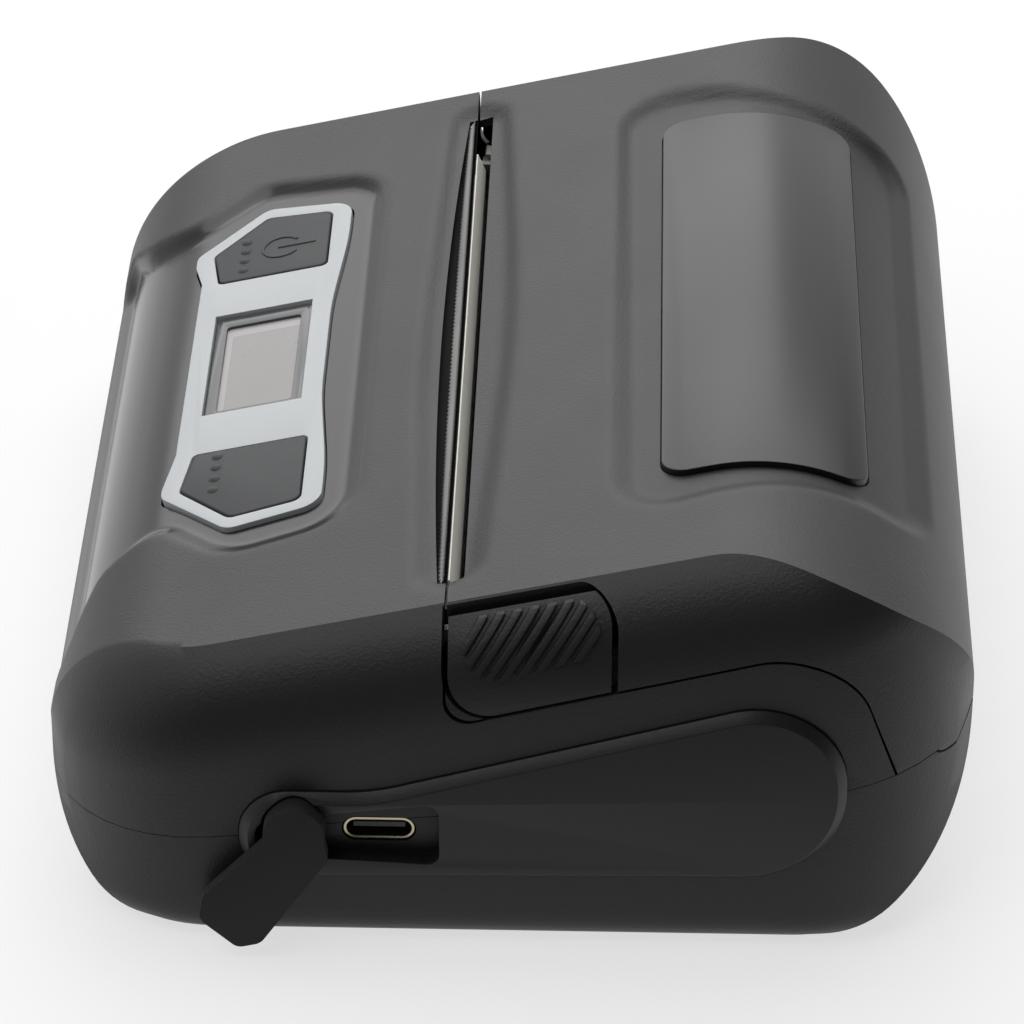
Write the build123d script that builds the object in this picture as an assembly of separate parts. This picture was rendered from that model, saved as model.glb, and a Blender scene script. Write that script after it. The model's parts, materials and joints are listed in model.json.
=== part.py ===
from build123d import *
import math
import os

# Portable receipt printer for paper about 111 mm wide, in millimetres.
# X runs along the paper slot, the charging port is at +X, Y points to the rear, Z up.
# The origin is on the surface that the printer stands on, under the middle of the body.

# Body
body_length = 154.0
body_depth = 119.0
roof_height = 47.3
roof_slope = 13.0
split_y = -7.7
wall = 2.2
plate_stand = 1.5
plate_seat = 0.8
front_floor_radius = 18.5
front_roof_radius = 19.5
rear_floor_radius = 25.0
rear_roof_radius = 28.0
corner_radius = 22.5
shoulder_radius = 15.0
shoulder_angle = 27.0
floor_edge_radius = 5.0
corner_margin = 0.1
parting_height = 20.35
parting_slope = 5.8
parting_gap = 0.1
seam = 0.35

# Paper slot and trough
slot_length = 122.2
slot_centre_x = 0.6
slot_front = 1.3
slot_bow = 1.8
slot_rear = 2.1
trough_length = 126.0
trough_front = 3.6
trough_rear = 7.6
trough_depth = 0.9

# Control panel
panel_x = -2.5
valley_depth = 1.2
valley_left = 44.7
valley_right = 46.9
valley_rear_y = -20.6
valley_radius = 5.0
bezel_half_length = 42.2
bezel_waist_near = 21.5
bezel_waist_far = 23.8
bezel_tip_near = 29.7
bezel_tip_far = 28.8
bezel_front_y = -47.0
bezel_rear_y = -25.3
bezel_step = 1.2
bezel_rear_step = 1.5
bezel_rear_waist = 12.0
bezel_diagonal = 10.5
bezel_stand = 0.6
bezel_thickness = 2.2
key_inner_near = 22.4
key_inner_far = 23.1
key_outer = 39.4
key_front_y = -44.4
key_rear_y = -28.2
key_diagonal = 8.5
key_gap = 0.25
key_stand = 0.35
key_travel = 0.6
key_skirt = 0.8
display_length = 26.0
display_width = 13.6
display_y = -36.3
display_offset = -0.8
lens_thickness = 1.2
module_thickness = 1.6
panel_board_thickness = 1.2
switch_size = 5.2
switch_height = 1.5

# Window in the cover
window_left = 47.6
window_right = 45.6
window_front_y = 19.0
window_rear_y = 45.5
window_radius = 3.5
window_top = 0.5
window_thickness = 1.5
window_ledge = 2.0
window_gap = 0.15
recess_left = 57.0
recess_right = 53.6
recess_front_y = 12.5
recess_rear_y = 53.5
recess_radius = 8.0
recess_depth = 1.3

# End plates and charging port
bean_front_y = -33.8
bean_rear_y = 42.8
bean_bottom = 10.7
bean_top_front = 24.0
bean_bend_y = -17.0
bean_slope = 16.1
bean_bevel = 1.2
port_y = -16.1
port_z = 17.4
port_face_x = 74.1
port_width = 8.94
port_height = 3.16
port_length = 7.35
port_shell = 0.3
port_gap = 0.25
pocket_rear_y = -8.4
pocket_bottom = 13.8
pocket_depth = 2.7
flap_y = -26.6
flap_z = 19.4
flap_root_radius = 3.9
flap_stem_radius = 2.0
flap_thickness = 1.8
flap_gap = 0.3
stem_gap = 0.05

# Latch button on the right shoulder
button_front_y = -7.3
button_rear_y = 13.1
button_inner_x = 68.8
button_top_drop = 0.6
button_gap = 0.8
button_inner_gap = 1.15
button_front_radius = 5.0
button_rear_radius = 3.4
button_thickness = 2.6
button_travel = 0.9
button_leg_y = 6.0
button_leg_width = 8.0
button_leg_thickness = 1.8
rib_tilt = -36.0
rib_count = 9
rib_pitch = 1.78
rib_width = 0.75
rib_middle_y = 2.75
rib_middle_z = 45.0
rib_stand = 0.45

# Side edge of the cover, which the button's lower edge continues
cover_edge_slope = 0.262
cover_shoulder_z = 47.1
cover_shoulder_reach = 15.1
cover_end_reach = 7.7

# Hinge of the cover
hinge_z = 27.8
hinge_radius = 2.5
hinge_pin_radius = 1.2
hinge_group_x = 36.0
hinge_knuckle = 9.0
hinge_gap = 0.3
hinge_sweep = 3.4
cover_lip = 3.1
pin_clearance = 0.05

# Paper path
paper_width = 110.8
paper_start_x = -49.6
roll_radius = 20.0
roll_y = 31.0
roll_gap = 0.4
core_outer_radius = 8.0
core_inner_radius = 6.35
cradle_inner_radius = 21.0
cradle_wall = 1.4
cradle_bottom = 6.4
web_thickness = 0.2
web_clearance = 0.15
web_top = 0.7
web_lean = 1.1
web_bend_z = 43.9

# Platen and its drive
platen_y = -1.2
platen_z = 39.8
platen_radius = 5.0
shaft_radius = 2.0
bush_radius = 3.4
gear_module = 0.6
platen_teeth = 18
idler_teeth = 24
pinion_teeth = 12
gear_width = 2.8
gear_x = -60.2
idler_angle = 256.5
motor_angle = -75.0
motor_radius = 9.0
motor_length = 16.5
motor_shaft_radius = 1.0
idler_stud_radius = 1.5

# Frame, head and latch
frame_sheet = 1.2
frame_near_x = 64.3
frame_far_x = -56.2
frame_front_y = -17.5
frame_foot_z = 18.0
frame_top = 42.0
ear_near_x = 62.0
ear_far_x = -53.9
ear_thickness = 1.8
head_pivot_y = -10.6
head_pivot_z = 31.0
head_pin_radius = 1.25
head_top = 43.6
sink_top = 42.3
head_bottom = 29.0
sink_thickness = 3.9
ceramic_thickness = 1.2
head_nip_gap = 0.3
blade_thickness = 0.5
blade_tooth_pitch = 1.0
blade_tooth_height = 0.6
latch_y = -14.3
latch_z = 27.0
latch_rod_radius = 1.5
hook_thickness = 0.8
hook_near_x = 65.75
hook_far_x = -62.1
hook_width = 4.4

# Boards, battery and fasteners
board_thickness = 1.6
board_far_x = -35.0
board_near_x = 73.0
board_front_y = -20.5
board_rear_y = 6.0
battery_length = 104.0
battery_depth = 19.4
battery_height = 19.4
battery_y = -31.0
battery_bottom = 2.6
door_depth = 20.4
door_thickness = 1.6
door_gap = 0.2
screw_radius = 1.2
screw_head_radius = 2.4
screw_head_height = 1.4
boss_radius = 2.8
case_screw_x = 66.9
case_screw_front_y = -35.0
case_screw_rear_y = 29.0
case_screw_seat = 9.0
pillar_joint_z = 22.0

# Values worked out from the sizes above
half_width = body_length / 2 - plate_stand
half_depth = body_depth / 2
hinge_y = half_depth - hinge_radius
door_length = battery_length + 16.0
button_leg_x = half_width - 5.1
slope_tan = math.tan(math.radians(roof_slope))
slope_cos = math.cos(math.radians(roof_slope))
tall = 2 * body_depth
roll_z = cradle_bottom + roll_radius + roll_gap
paper_end_x = paper_start_x + paper_width
board_top = port_z - port_height / 2
board_bottom = board_top - board_thickness
nip_y = platen_y - platen_radius
head_face_y = nip_y - head_nip_gap
door_screw_x = door_length / 2 - 3.5


def roof_z(y, depth=0.0):
    """Height of the flat roof at y, or of a surface that lies depth under it."""
    return roof_height + (y - split_y) * slope_tan - depth / slope_cos


def parting_z(y):
    """Height of the seam between the lower and the upper shell."""
    return parting_height + y * math.tan(math.radians(parting_slope))


def box(x0, x1, y0, y1, z0, z1):
    """Block between two corners."""
    size = Box(x1 - x0, y1 - y0, z1 - z0)
    return Pos((x0 + x1) / 2, (y0 + y1) / 2, (z0 + z1) / 2) * size


def rod(radius, x0, x1, y, z):
    """Round bar along X."""
    return Pos((x0 + x1) / 2, y, z) * Rot(0, 90, 0) * Cylinder(radius, x1 - x0)


def post(radius, x, y, z0, z1):
    """Round bar along Z."""
    return Pos(x, y, (z0 + z1) / 2) * Cylinder(radius, z1 - z0)


def outline(points, radii):
    """Closed flat outline with a radius, or none, at each corner."""
    face = make_face(Polyline(*points, close=True))
    for point, radius in zip(points, radii):
        if radius:
            corner = face.vertices().sort_by_distance((point[0], point[1], 0))[0]
            face = fillet(corner, radius)
    return face


def side_slab(points, radii, x0, x1):
    """Outline of Y and Z points, as a slab from x0 to x1."""
    face = outline(points, radii)
    return extrude(Plane.YZ.offset(x0) * face, x1 - x0)


def plan_prism(points, radii, z0, z1):
    """Outline of X and Y points, as a prism from z0 to z1."""
    face = outline(points, radii)
    return extrude(Plane.XY.offset(z0) * face, z1 - z0)


def roof_plane(depth=0.0):
    """Plane of the roof, sunk by depth along its normal, with its origin at the panel's middle."""
    slope_sin = math.sin(math.radians(roof_slope))
    origin = (panel_x, display_y + depth * slope_sin, roof_z(display_y) - depth * slope_cos)
    return Plane(origin=origin, x_dir=(1, 0, 0), z_dir=(0, -slope_sin, slope_cos))


def on_roof(x, y):
    """Point on the roof plane for a place seen from above."""
    return (x - panel_x, (y - display_y) / slope_cos)


def body_form(inset):
    """Closed form of the whole body, drawn in by inset on every side."""
    front = inset - half_depth
    rear = half_depth - inset
    corners = [(front, inset), (rear, inset), (rear, roof_z(rear, inset)), (front, roof_z(front, inset))]
    radii = [front_floor_radius, rear_floor_radius, rear_roof_radius, front_roof_radius]
    log = side_slab(corners, [r - inset for r in radii], -body_length, body_length)

    plan = RectangleRounded(
        2 * (half_width - inset),
        2 * (half_depth + corner_margin - inset),
        corner_radius - inset,
    )
    crown = shoulder_radius * (1 - math.cos(math.radians(shoulder_angle)))
    block = extrude(Plane.XY.offset(inset) * plan, tall)
    block = split(block, bisect_by=roof_plane(inset - crown), keep=Keep.BOTTOM)
    lid = block.faces().sort_by(Axis.Z)[-1]
    block = fillet(lid.edges(), shoulder_radius - inset)
    base = block.faces().sort_by(Axis.Z)[0]
    block = fillet(base.edges(), floor_edge_radius - inset)
    return log & block


def cover_edge_z(y):
    """Height of the cover's lower edge on its sides."""
    return cover_shoulder_z - cover_edge_slope * (hinge_y - cover_shoulder_reach - y)


def cover_region(grow):
    """Space behind the split line that belongs to the cover, grown by a gap."""
    front = split_y + seam / 2 - grow
    end_y = hinge_y - cover_end_reach
    end_z = parting_z(end_y)
    shoulder_y = hinge_y - cover_shoulder_reach
    points = [
        (front, tall),
        (front, cover_edge_z(front) - grow),
        (shoulder_y, cover_shoulder_z - grow),
        (end_y - grow, end_z),
        (end_y - grow, 0.0),
        (body_depth, 0.0),
        (body_depth, tall),
    ]
    return side_slab(points, [0, 3.0, 12.0, 0, 0, 0, 0], -body_length, body_length)


def below_parting(drop):
    """Space under the seam between the shells, lowered by drop."""
    points = [
        (-body_depth, parting_z(-body_depth) - drop),
        (body_depth, parting_z(body_depth) - drop),
        (body_depth, -body_depth),
        (-body_depth, -body_depth),
    ]
    return side_slab(points, [0, 0, 0, 0], -body_length, body_length)


def button_region(grow, inner_grow):
    """Space of the latch button on the right shoulder, grown by a gap at its rim and inner edge."""
    front = button_front_y - grow
    rear = button_rear_y + grow
    drop = seam if grow > 0 else 0.0
    points = [
        (front, roof_z(front) - button_top_drop + grow / 2),
        (front, cover_edge_z(front) - drop),
        (rear, cover_edge_z(rear) - drop),
        (rear, roof_z(rear) - button_top_drop + grow / 2),
    ]
    radii = [0, button_front_radius + grow, 0, button_rear_radius + grow]
    return side_slab(points, radii, button_inner_x - inner_grow, body_length)


def rib_zone():
    """Space on the button that its ribs keep to."""
    points = [
        (-5.6, roof_z(-5.6) - 1.5),
        (-5.6, 39.1),
        (11.7, 44.4),
        (11.7, roof_z(11.7) - 1.5),
    ]
    return side_slab(points, [0.5, 4.0, 1.0, 3.0], button_inner_x, body_length)


def window_prism(grow, z0=0.0):
    """Upright prism of the window's outline, grown by a margin."""
    points = [
        (-window_left - grow, window_front_y - grow),
        (window_right + grow, window_front_y - grow),
        (window_right + grow, window_rear_y + grow),
        (-window_left - grow, window_rear_y + grow),
    ]
    return plan_prism(points, [window_radius + grow] * 4, z0, tall)


def recess_prism():
    """Upright prism of the recess round the window."""
    points = [
        (-recess_left, recess_front_y),
        (recess_right, recess_front_y),
        (recess_right, recess_rear_y),
        (-recess_left, recess_rear_y),
    ]
    return plan_prism(points, [recess_radius, recess_radius, 2.0, 2.0], hinge_z, tall)


def valley_prism():
    """Upright prism of the valley that the control panel lies in."""
    points = [
        (-valley_left + panel_x, -body_depth),
        (valley_right + panel_x, -body_depth),
        (valley_right + panel_x, valley_rear_y),
        (-valley_left + panel_x, valley_rear_y),
    ]
    return plan_prism(points, [0, 0, valley_radius, valley_radius], parting_height, tall)


def bezel_outline(grow):
    """Bezel outline on the roof plane: wide ends with cut front corners, and a waist."""
    half = bezel_half_length + grow
    front = bezel_front_y - grow
    rear = bezel_rear_y + grow
    ends = []
    for side, waist, tip in ((1, bezel_waist_near, bezel_tip_near), (-1, bezel_waist_far, bezel_tip_far)):
        points = [
            (waist, front + bezel_step),
            (tip, front),
            (half - bezel_diagonal, front),
            (half, front + 0.9 * bezel_diagonal),
            (half - 2.3, rear),
            (bezel_tip_near, rear),
            (bezel_rear_waist, rear - bezel_rear_step),
        ]
        ends.append([on_roof(side * x + panel_x, y) for x, y in points])
    radii = [2.0, 2.0, 2.5, 2.5, 3.5, 100.0, 100.0]
    return outline(ends[0] + ends[1][::-1], radii + radii[::-1])


def key_outline(side, shrink):
    """Outline of one key: square inner end, cut front corner; side is -1 or 1."""
    inner = (key_inner_near if side > 0 else key_inner_far) + shrink
    outer = key_outer - shrink
    front = key_front_y + shrink
    rear = key_rear_y - shrink
    points = [
        (inner, front + 1.2),
        (outer - key_diagonal, front),
        (outer, front + 0.85 * key_diagonal),
        (outer - 1.4, rear),
        (inner, rear),
    ]
    flat = [on_roof(side * x + panel_x, y) for x, y in points]
    return outline(flat, [1.0, 1.5, 1.5, 1.5, 1.0])


def key_middle(side):
    """Place of a key's middle along the panel; side is -1 or 1."""
    inner = key_inner_near if side > 0 else key_inner_far
    return side * (inner + key_outer) / 2


def display_rect(grow):
    """Rectangle of the display on the roof plane."""
    return Pos(display_offset, 0) * Rectangle(display_length + 2 * grow, display_width + 2 * grow)


def roof_slab(face, top, thickness):
    """Slab of the given face that reaches from top down, both under the roof."""
    return extrude(roof_plane(top + thickness) * face, thickness)


def bean_face(shrink):
    """Outline of an end plate: a long bean with a small front and a large rear end."""
    front = bean_front_y + shrink
    rear = bean_rear_y - shrink
    low = bean_bottom + shrink
    top = bean_top_front - shrink
    rear_top = top + (rear - bean_bend_y) * math.tan(math.radians(bean_slope))
    points = [(front, low), (rear, low + 1.2), (rear, rear_top), (bean_bend_y, top), (front, top)]
    end = 6.4 - shrink
    return outline(points, [end, 13.0 - shrink, 11.5 - shrink, 24.0 + shrink, end])


def pocket_slab(x0, x1):
    """Space of the port pocket between two places along X."""
    points = [
        (flap_y - 5.0, pocket_bottom + 1.2),
        (pocket_rear_y, pocket_bottom),
        (pocket_rear_y, pocket_bottom + 9.4),
        (flap_y - 5.0, pocket_bottom + 6.4),
    ]
    return side_slab(points, [2.5, 1.5, 1.8, 2.5], x0, x1)


def make_port_cuts():
    """All that the pocket, the port and the flap take out of the right wall."""
    cuts = pocket_slab(body_length / 2 - pocket_depth, body_length)
    cuts += port_form(port_gap, half_width - wall - 1, half_width + 1)
    cuts += rod(flap_root_radius + 0.3, body_length / 2 - pocket_depth, body_length, flap_y, flap_z)
    return cuts + rod(flap_stem_radius + stem_gap, half_width - wall - 1, body_length, flap_y, flap_z)


def port_form(grow, x0, x1):
    """Rounded bar with the section of the charging port."""
    section = RectangleRounded(
        port_width + 2 * grow, port_height + 2 * grow, (port_height + 2 * grow) / 2 - 0.01
    )
    return extrude(Plane.YZ.offset(x0) * Pos(port_y, port_z) * section, x1 - x0)


def flap_outline():
    """Outline of the flap hanging open, narrow at the root and wide at the tip."""
    points = [
        (flap_y - 1.6, flap_z + 1.2),
        (flap_y + 3.4, flap_z + 0.8),
        (flap_y + 4.3, flap_z - 3.6),
        (flap_y - 4.6, flap_z - 16.9),
        (flap_y - 7.6, flap_z - 17.6),
        (flap_y - 12.4, flap_z - 13.2),
        (flap_y - 11.8, flap_z - 9.6),
    ]
    return points, [1.2, 1.5, 1.5, 2.0, 1.5, 2.0, 2.0]


def gear(teeth, x0, x1, y, z, turn, bore):
    """Spur gear along X with straight-sided teeth and some backlash."""
    pitch_radius = gear_module * teeth / 2
    root = pitch_radius - 1.25 * gear_module
    tip = pitch_radius + 0.85 * gear_module
    step = 2 * math.pi / teeth
    thickness = 0.44 * step
    ring = []
    for index in range(teeth):
        middle = math.radians(turn) + index * step
        for radius, share in ((root, -0.78), (tip, -0.27), (tip, 0.27), (root, 0.78)):
            at = middle + share * thickness
            ring.append((radius * math.cos(at), radius * math.sin(at)))
    face = make_face(Polyline(*ring, close=True))
    body = extrude(Plane.YZ.offset(x0) * Pos(y, z) * face, x1 - x0)
    return body - rod(bore, x0 - 1, x1 + 1, y, z)


def idler_place():
    """Centre of the idler gear, in mesh under the platen gear."""
    reach = gear_module * (platen_teeth + idler_teeth) / 2
    at = math.radians(idler_angle)
    return platen_y + reach * math.cos(at), platen_z + reach * math.sin(at)


def motor_place():
    """Centre of the motor, in mesh with the idler gear."""
    reach = gear_module * (idler_teeth + pinion_teeth) / 2
    at = math.radians(motor_angle)
    y, z = idler_place()
    return y + reach * math.cos(at), z + reach * math.sin(at)


def case_screw_places():
    """The four case screws, seen from above."""
    return [(sx * case_screw_x, y) for sx in (-1, 1) for y in (case_screw_front_y, case_screw_rear_y)]


def board_screw_places():
    """The four screws of the main board, seen from above."""
    return [(-30.0, -17.0), (-30.0, 2.5), (45.0, -17.5), (69.0, 2.5)]


def frame_screw_places():
    """The two screws of the mechanism frame, seen from above."""
    return [(x, frame_front_y + 4.2) for x in (frame_far_x + 5.5, frame_near_x - 4.5)]


def hinge_spans(moving):
    """Spans along X of the moving or of the fixed hinge knuckles."""
    spans = []
    for centre in (-hinge_group_x, hinge_group_x):
        if moving:
            spans.append((centre - hinge_knuckle / 2, centre + hinge_knuckle / 2))
        else:
            inner = hinge_knuckle / 2 + hinge_gap
            spans.append((centre - inner - hinge_knuckle, centre - inner))
            spans.append((centre + inner, centre + inner + hinge_knuckle))
    return spans


def make_bottom_case():
    """Lower shell with hinge knuckles, screw bosses, battery bay and port opening."""
    case = shell & below_parting(parting_gap / 2)
    case -= rod(hinge_sweep, -half_width, half_width, hinge_y, hinge_z)
    for x0, x1 in hinge_spans(moving=False):
        stem = box(x0, x1, hinge_y - 1.0, half_depth, parting_z(half_depth) - 4.0, hinge_z) & body
        case += stem + rod(hinge_radius, x0, x1, hinge_y, hinge_z)
        case -= rod(hinge_pin_radius, x0 - 1, x1 + 1, hinge_y, hinge_z)
    for x, y in case_screw_places():
        case += post(boss_radius, x, y, wall / 2, pillar_joint_z)
        case -= post(screw_head_radius + 0.3, x, y, -1, case_screw_seat)
        case -= post(screw_radius + 0.2, x, y, 0, tall)
    for x, y in board_screw_places():
        case += post(boss_radius, x, y, wall / 2, board_bottom)
        case -= post(screw_radius, x, y, board_bottom - 5.0, tall)
    for x, y in frame_screw_places():
        case += post(boss_radius, x, y, wall / 2, frame_foot_z)
        case -= post(screw_radius, x, y, frame_foot_z - 5.0, tall)
    for x in (-38.0, 0.0, 46.0):
        case += box(x - 1, x + 1, roll_y - 6, roll_y + 6, wall / 2, cradle_bottom - cradle_wall)
    ledge = box(-door_length / 2 - 1, door_length / 2 + 1, battery_y - door_depth / 2 - 1,
                battery_y + door_depth / 2 + 1, wall / 2, door_thickness + 2.4) & body_form(wall / 2)
    case += ledge
    bay = battery_length / 2 + 0.5
    case -= box(-bay, bay, battery_y - battery_depth / 2 - 0.3, battery_y + battery_depth / 2 + 0.3, -1, 5)
    case -= box(-door_length / 2 - door_gap, door_length / 2 + door_gap,
                battery_y - door_depth / 2 - door_gap, battery_y + door_depth / 2 + door_gap, -1, door_thickness)
    for x in (-door_screw_x, door_screw_x):
        case -= post(screw_radius, x, battery_y, 0, 3.6)
    case -= plate_recess
    case -= port_cuts
    return case


def make_top_case():
    """Front upper shell with the panel valley, the slot's front half and the two cheeks."""
    case = shell - below_parting(-parting_gap / 2) - cover_region(seam)
    case -= (body - body_form(valley_depth)) & valley_prism()
    seat = roof_slab(bezel_outline(key_gap), -5.0, 5.0 + valley_depth - bezel_stand + bezel_thickness)
    case += roof_slab(bezel_outline(2.0), valley_depth + 0.2, bezel_thickness + 0.6) & body_form(wall / 2)
    case -= seat
    for side in (-1, 1):
        case -= roof_slab(key_outline(side, -1.8), 0.0, 12.0)
    case -= roof_slab(display_rect(0.4), 0.0, 12.0)
    case -= slot
    case -= trough
    case -= button_region(button_gap, button_inner_gap)
    for x, y in case_screw_places():
        pillar = post(boss_radius, x, y, pillar_joint_z + 0.1, tall / 2)
        side = half_width if x > 0 else -half_width
        if y > 0:
            web_box = box(min(x, side), max(x, side), y - 1.2, y + 1.2, pillar_joint_z + 4.0, pillar_joint_z + 14)
            pillar = (pillar - post(tall, x, y, pillar_joint_z + 14, tall)) + web_box
        case += pillar & body_form(wall / 2)
        case -= post(screw_radius, x, y, pillar_joint_z - 1, pillar_joint_z + 9)
    guide = box(button_leg_x - 3.8, half_width - wall / 2, button_leg_y - 5.0, button_leg_y + 5.0, 29.0, 30.5)
    case += guide & body_form(wall / 2)
    case -= plate_recess
    case -= port_cuts
    return case.solids().sort_by(SortBy.VOLUME)[-1]


def make_slot():
    """Space of the paper slot; its front edge bows forward."""
    half = slot_length / 2
    front = ThreePointArc((-half, -slot_front), (0, -slot_front - slot_bow), (half, -slot_front))
    rear = Polyline((half, -slot_front), (half, slot_rear), (-half, slot_rear), (-half, -slot_front))
    face = Pos(slot_centre_x, split_y) * make_face(front + rear)
    return extrude(Plane.XY.offset(roof_z(split_y) - 6.0) * face, tall)


def make_trough():
    """Shallow lens round the slot, cut into the roof on both sides of the split."""
    half = trough_length / 2
    rear = ThreePointArc((-half, 0), (0, trough_rear), (half, 0))
    front = ThreePointArc((half, 0), (0, -trough_front), (-half, 0))
    lens = make_face(rear + front)
    plane = roof_plane(trough_depth)
    at = on_roof(slot_centre_x, split_y)
    return extrude(plane * Pos(*at) * lens, 10.0)


def make_paper_cover():
    """Hinged rear shell with the window opening, hinge knuckles and ribs for the platen bracket."""
    cover = (shell & cover_region(0.0)) - below_parting(-parting_gap / 2 - seam)
    lip = box(-half_width, half_width, hinge_y - cover_lip, half_depth, hinge_z - cover_lip, hinge_z + 1)
    cover += lip & shell & rod(cover_lip, -half_width, half_width, hinge_y, hinge_z)
    cover -= (body - body_form(recess_depth)) & recess_prism()
    frame_depth = window_top + window_thickness + 1.2
    frame_ring = (body_form(recess_depth + 0.2) - body_form(frame_depth)) & window_prism(3.0, hinge_z)
    cover += frame_ring
    pane = (body - body_form(window_top + window_thickness)) & window_prism(window_gap, hinge_z)
    cover -= pane
    cover -= window_prism(-window_ledge, hinge_z)
    cover -= slot
    cover -= trough
    cover -= button_region(button_gap, button_inner_gap)
    for x0, x1 in hinge_spans(moving=False):
        gap = hinge_gap
        cover -= rod(hinge_radius + gap + 0.1, x0 - gap, x1 + gap, hinge_y, hinge_z)
        cover -= box(x0 - gap, x1 + gap, hinge_y - 3, body_depth, 0, hinge_z + hinge_radius + gap)
    for x0, x1 in hinge_spans(moving=True):
        knuckle = rod(hinge_radius, x0, x1, hinge_y, hinge_z)
        neck = box(x0, x1, hinge_y - 0.5, half_depth - 0.6, hinge_z, hinge_z + 5.0)
        cover += knuckle + neck
        cover -= rod(hinge_pin_radius + pin_clearance, x0 - 1, x1 + 1, hinge_y, hinge_z)
    return cover.solids().sort_by(SortBy.VOLUME)[-1]


def make_hinge_pins():
    """Two short steel pins, tight in the fixed knuckles."""
    pins = []
    reach = 1.5 * hinge_knuckle + hinge_gap
    for centre in (-hinge_group_x, hinge_group_x):
        pins.append(rod(hinge_pin_radius, centre - reach, centre + reach, hinge_y, hinge_z))
    return pins


def make_cover_window():
    """Dark clear lens that follows the cover's rear curve."""
    layer = body_form(window_top) - body_form(window_top + window_thickness - window_gap)
    return layer & window_prism(0.0, hinge_z)


def make_side_plate(side):
    """Bean-shaped end plate with a bevelled edge; the right one has the port pocket."""
    inner = half_width - plate_seat
    outer = body_length / 2
    base = extrude(Plane.YZ.offset(inner) * bean_face(0.0), outer - inner)
    rim = base.faces().sort_by(Axis.X)[-1]
    plate = chamfer(rim.edges(), bean_bevel)
    if side > 0:
        plate -= pocket_slab(inner - 1, outer + 1)
        root = rod(flap_root_radius + 0.3, inner - 1, outer + 1, flap_y, flap_z)
        return plate - root
    return mirror(plate, about=Plane.YZ)


def make_port_flap():
    """Rubber flap with a round root and a stem that turns in the case wall."""
    low = body_length / 2 + flap_gap
    points, radii = flap_outline()
    blade = side_slab(points, radii, low, low + flap_thickness)
    wall_face = body_length / 2 - pocket_depth
    root = rod(flap_root_radius, wall_face + 0.1, low + flap_thickness, flap_y, flap_z)
    stem = rod(flap_stem_radius, half_width - wall + 0.1, low, flap_y, flap_z)
    return blade + root + stem


def make_usb_socket():
    """Charging port: metal shell, tongue and insulator."""
    x0 = port_face_x - port_length
    tube = port_form(0.0, x0, port_face_x) - port_form(-port_shell, x0 + 1.5, port_face_x + 1)
    tongue = box(x0 + 1.0, port_face_x - 0.8, port_y - 3.3, port_y + 3.3, port_z - 0.35, port_z + 0.35)
    return tube + tongue


def make_panel_bezel():
    """Light frame with openings for the two keys and the display."""
    top = valley_depth - bezel_stand
    frame_body = roof_slab(bezel_outline(0.0), top, bezel_thickness)
    for side in (-1, 1):
        frame_body -= roof_slab(key_outline(side, -key_gap), top - 1, bezel_thickness + 2)
    frame_body -= roof_slab(display_rect(0.15), top - 1, bezel_thickness + 2)
    return frame_body


def make_key(side):
    """One rubber-like key with a skirt under the bezel and a post to its switch."""
    top = valley_depth - bezel_stand - key_stand
    under = valley_depth - bezel_stand + bezel_thickness + key_travel * 0.25
    cap = roof_slab(key_outline(side, 0.0), top, under - top + 0.1)
    skirt = roof_slab(key_outline(side, -1.0), under, key_skirt)
    stem_face = Pos(key_middle(side), 0) * Rectangle(3.0, 3.0)
    switch_top = panel_board_depth() - switch_height
    stem = roof_slab(stem_face, under, switch_top - under - key_travel - 0.05)
    return cap + skirt + stem


def panel_board_depth():
    """Depth under the roof of the panel board's upper face."""
    return valley_depth - bezel_stand + bezel_thickness + key_skirt + key_travel + switch_height + 1.0


def make_panel_board():
    """Circuit board under the control panel."""
    board = Rectangle(2 * key_outer + 2.0, display_width + 3.0)
    return roof_slab(board, panel_board_depth(), panel_board_thickness)


def make_panel_switches():
    """Two tact switches under the keys."""
    switches = []
    depth = panel_board_depth()
    for side in (-1, 1):
        face = Pos(key_middle(side), 0) * Rectangle(switch_size, switch_size)
        switches.append(roof_slab(face, depth - switch_height, switch_height))
    return switches


def make_display_lens():
    """Clear lens over the display."""
    top = valley_depth - bezel_stand + 0.5
    return roof_slab(display_rect(0.0), top, lens_thickness)


def make_display_module():
    """Small screen on its glass plate, on the panel board."""
    top = valley_depth - bezel_stand + 0.5 + lens_thickness + 0.1
    glass = roof_slab(display_rect(-0.3), top, module_thickness)
    holder = roof_slab(display_rect(-2.0), top + module_thickness, panel_board_depth() - top - module_thickness)
    return glass + holder


def make_tear_blade():
    """Folded steel strip: flange under the roof, serrated lip in the slot."""
    x0 = slot_centre_x - slot_length / 2 + 1.0
    x1 = slot_centre_x + slot_length / 2 - 0.2
    top = wall + 0.05
    fold_y = split_y - 1.25
    lip_y = split_y - 0.5
    lip_z = roof_z(split_y) - 0.9
    points = [
        (-14.5, roof_z(-14.5, top)),
        (-14.5, roof_z(-14.5, top + blade_thickness)),
        (fold_y + 0.4, roof_z(fold_y + 0.4, top + blade_thickness)),
        (lip_y + blade_thickness * 0.9, lip_z),
        (lip_y, lip_z),
        (fold_y, roof_z(fold_y, top)),
    ]
    strip = side_slab(points, [0] * 6, x0, x1)
    count = int((x1 - x0) / blade_tooth_pitch)
    zigzag = []
    for index in range(count):
        left = x0 + index * blade_tooth_pitch
        zigzag.append((left, lip_z - 0.1))
        zigzag.append((left + blade_tooth_pitch / 2, lip_z + blade_tooth_height))
    zigzag.append((x0 + count * blade_tooth_pitch, lip_z - 0.1))
    teeth_face = make_face(Polyline(*zigzag, close=True))
    comb = extrude(Plane.XZ.offset(-lip_y - blade_thickness * 0.7) * teeth_face, blade_thickness * 0.6)
    return strip + comb


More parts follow.
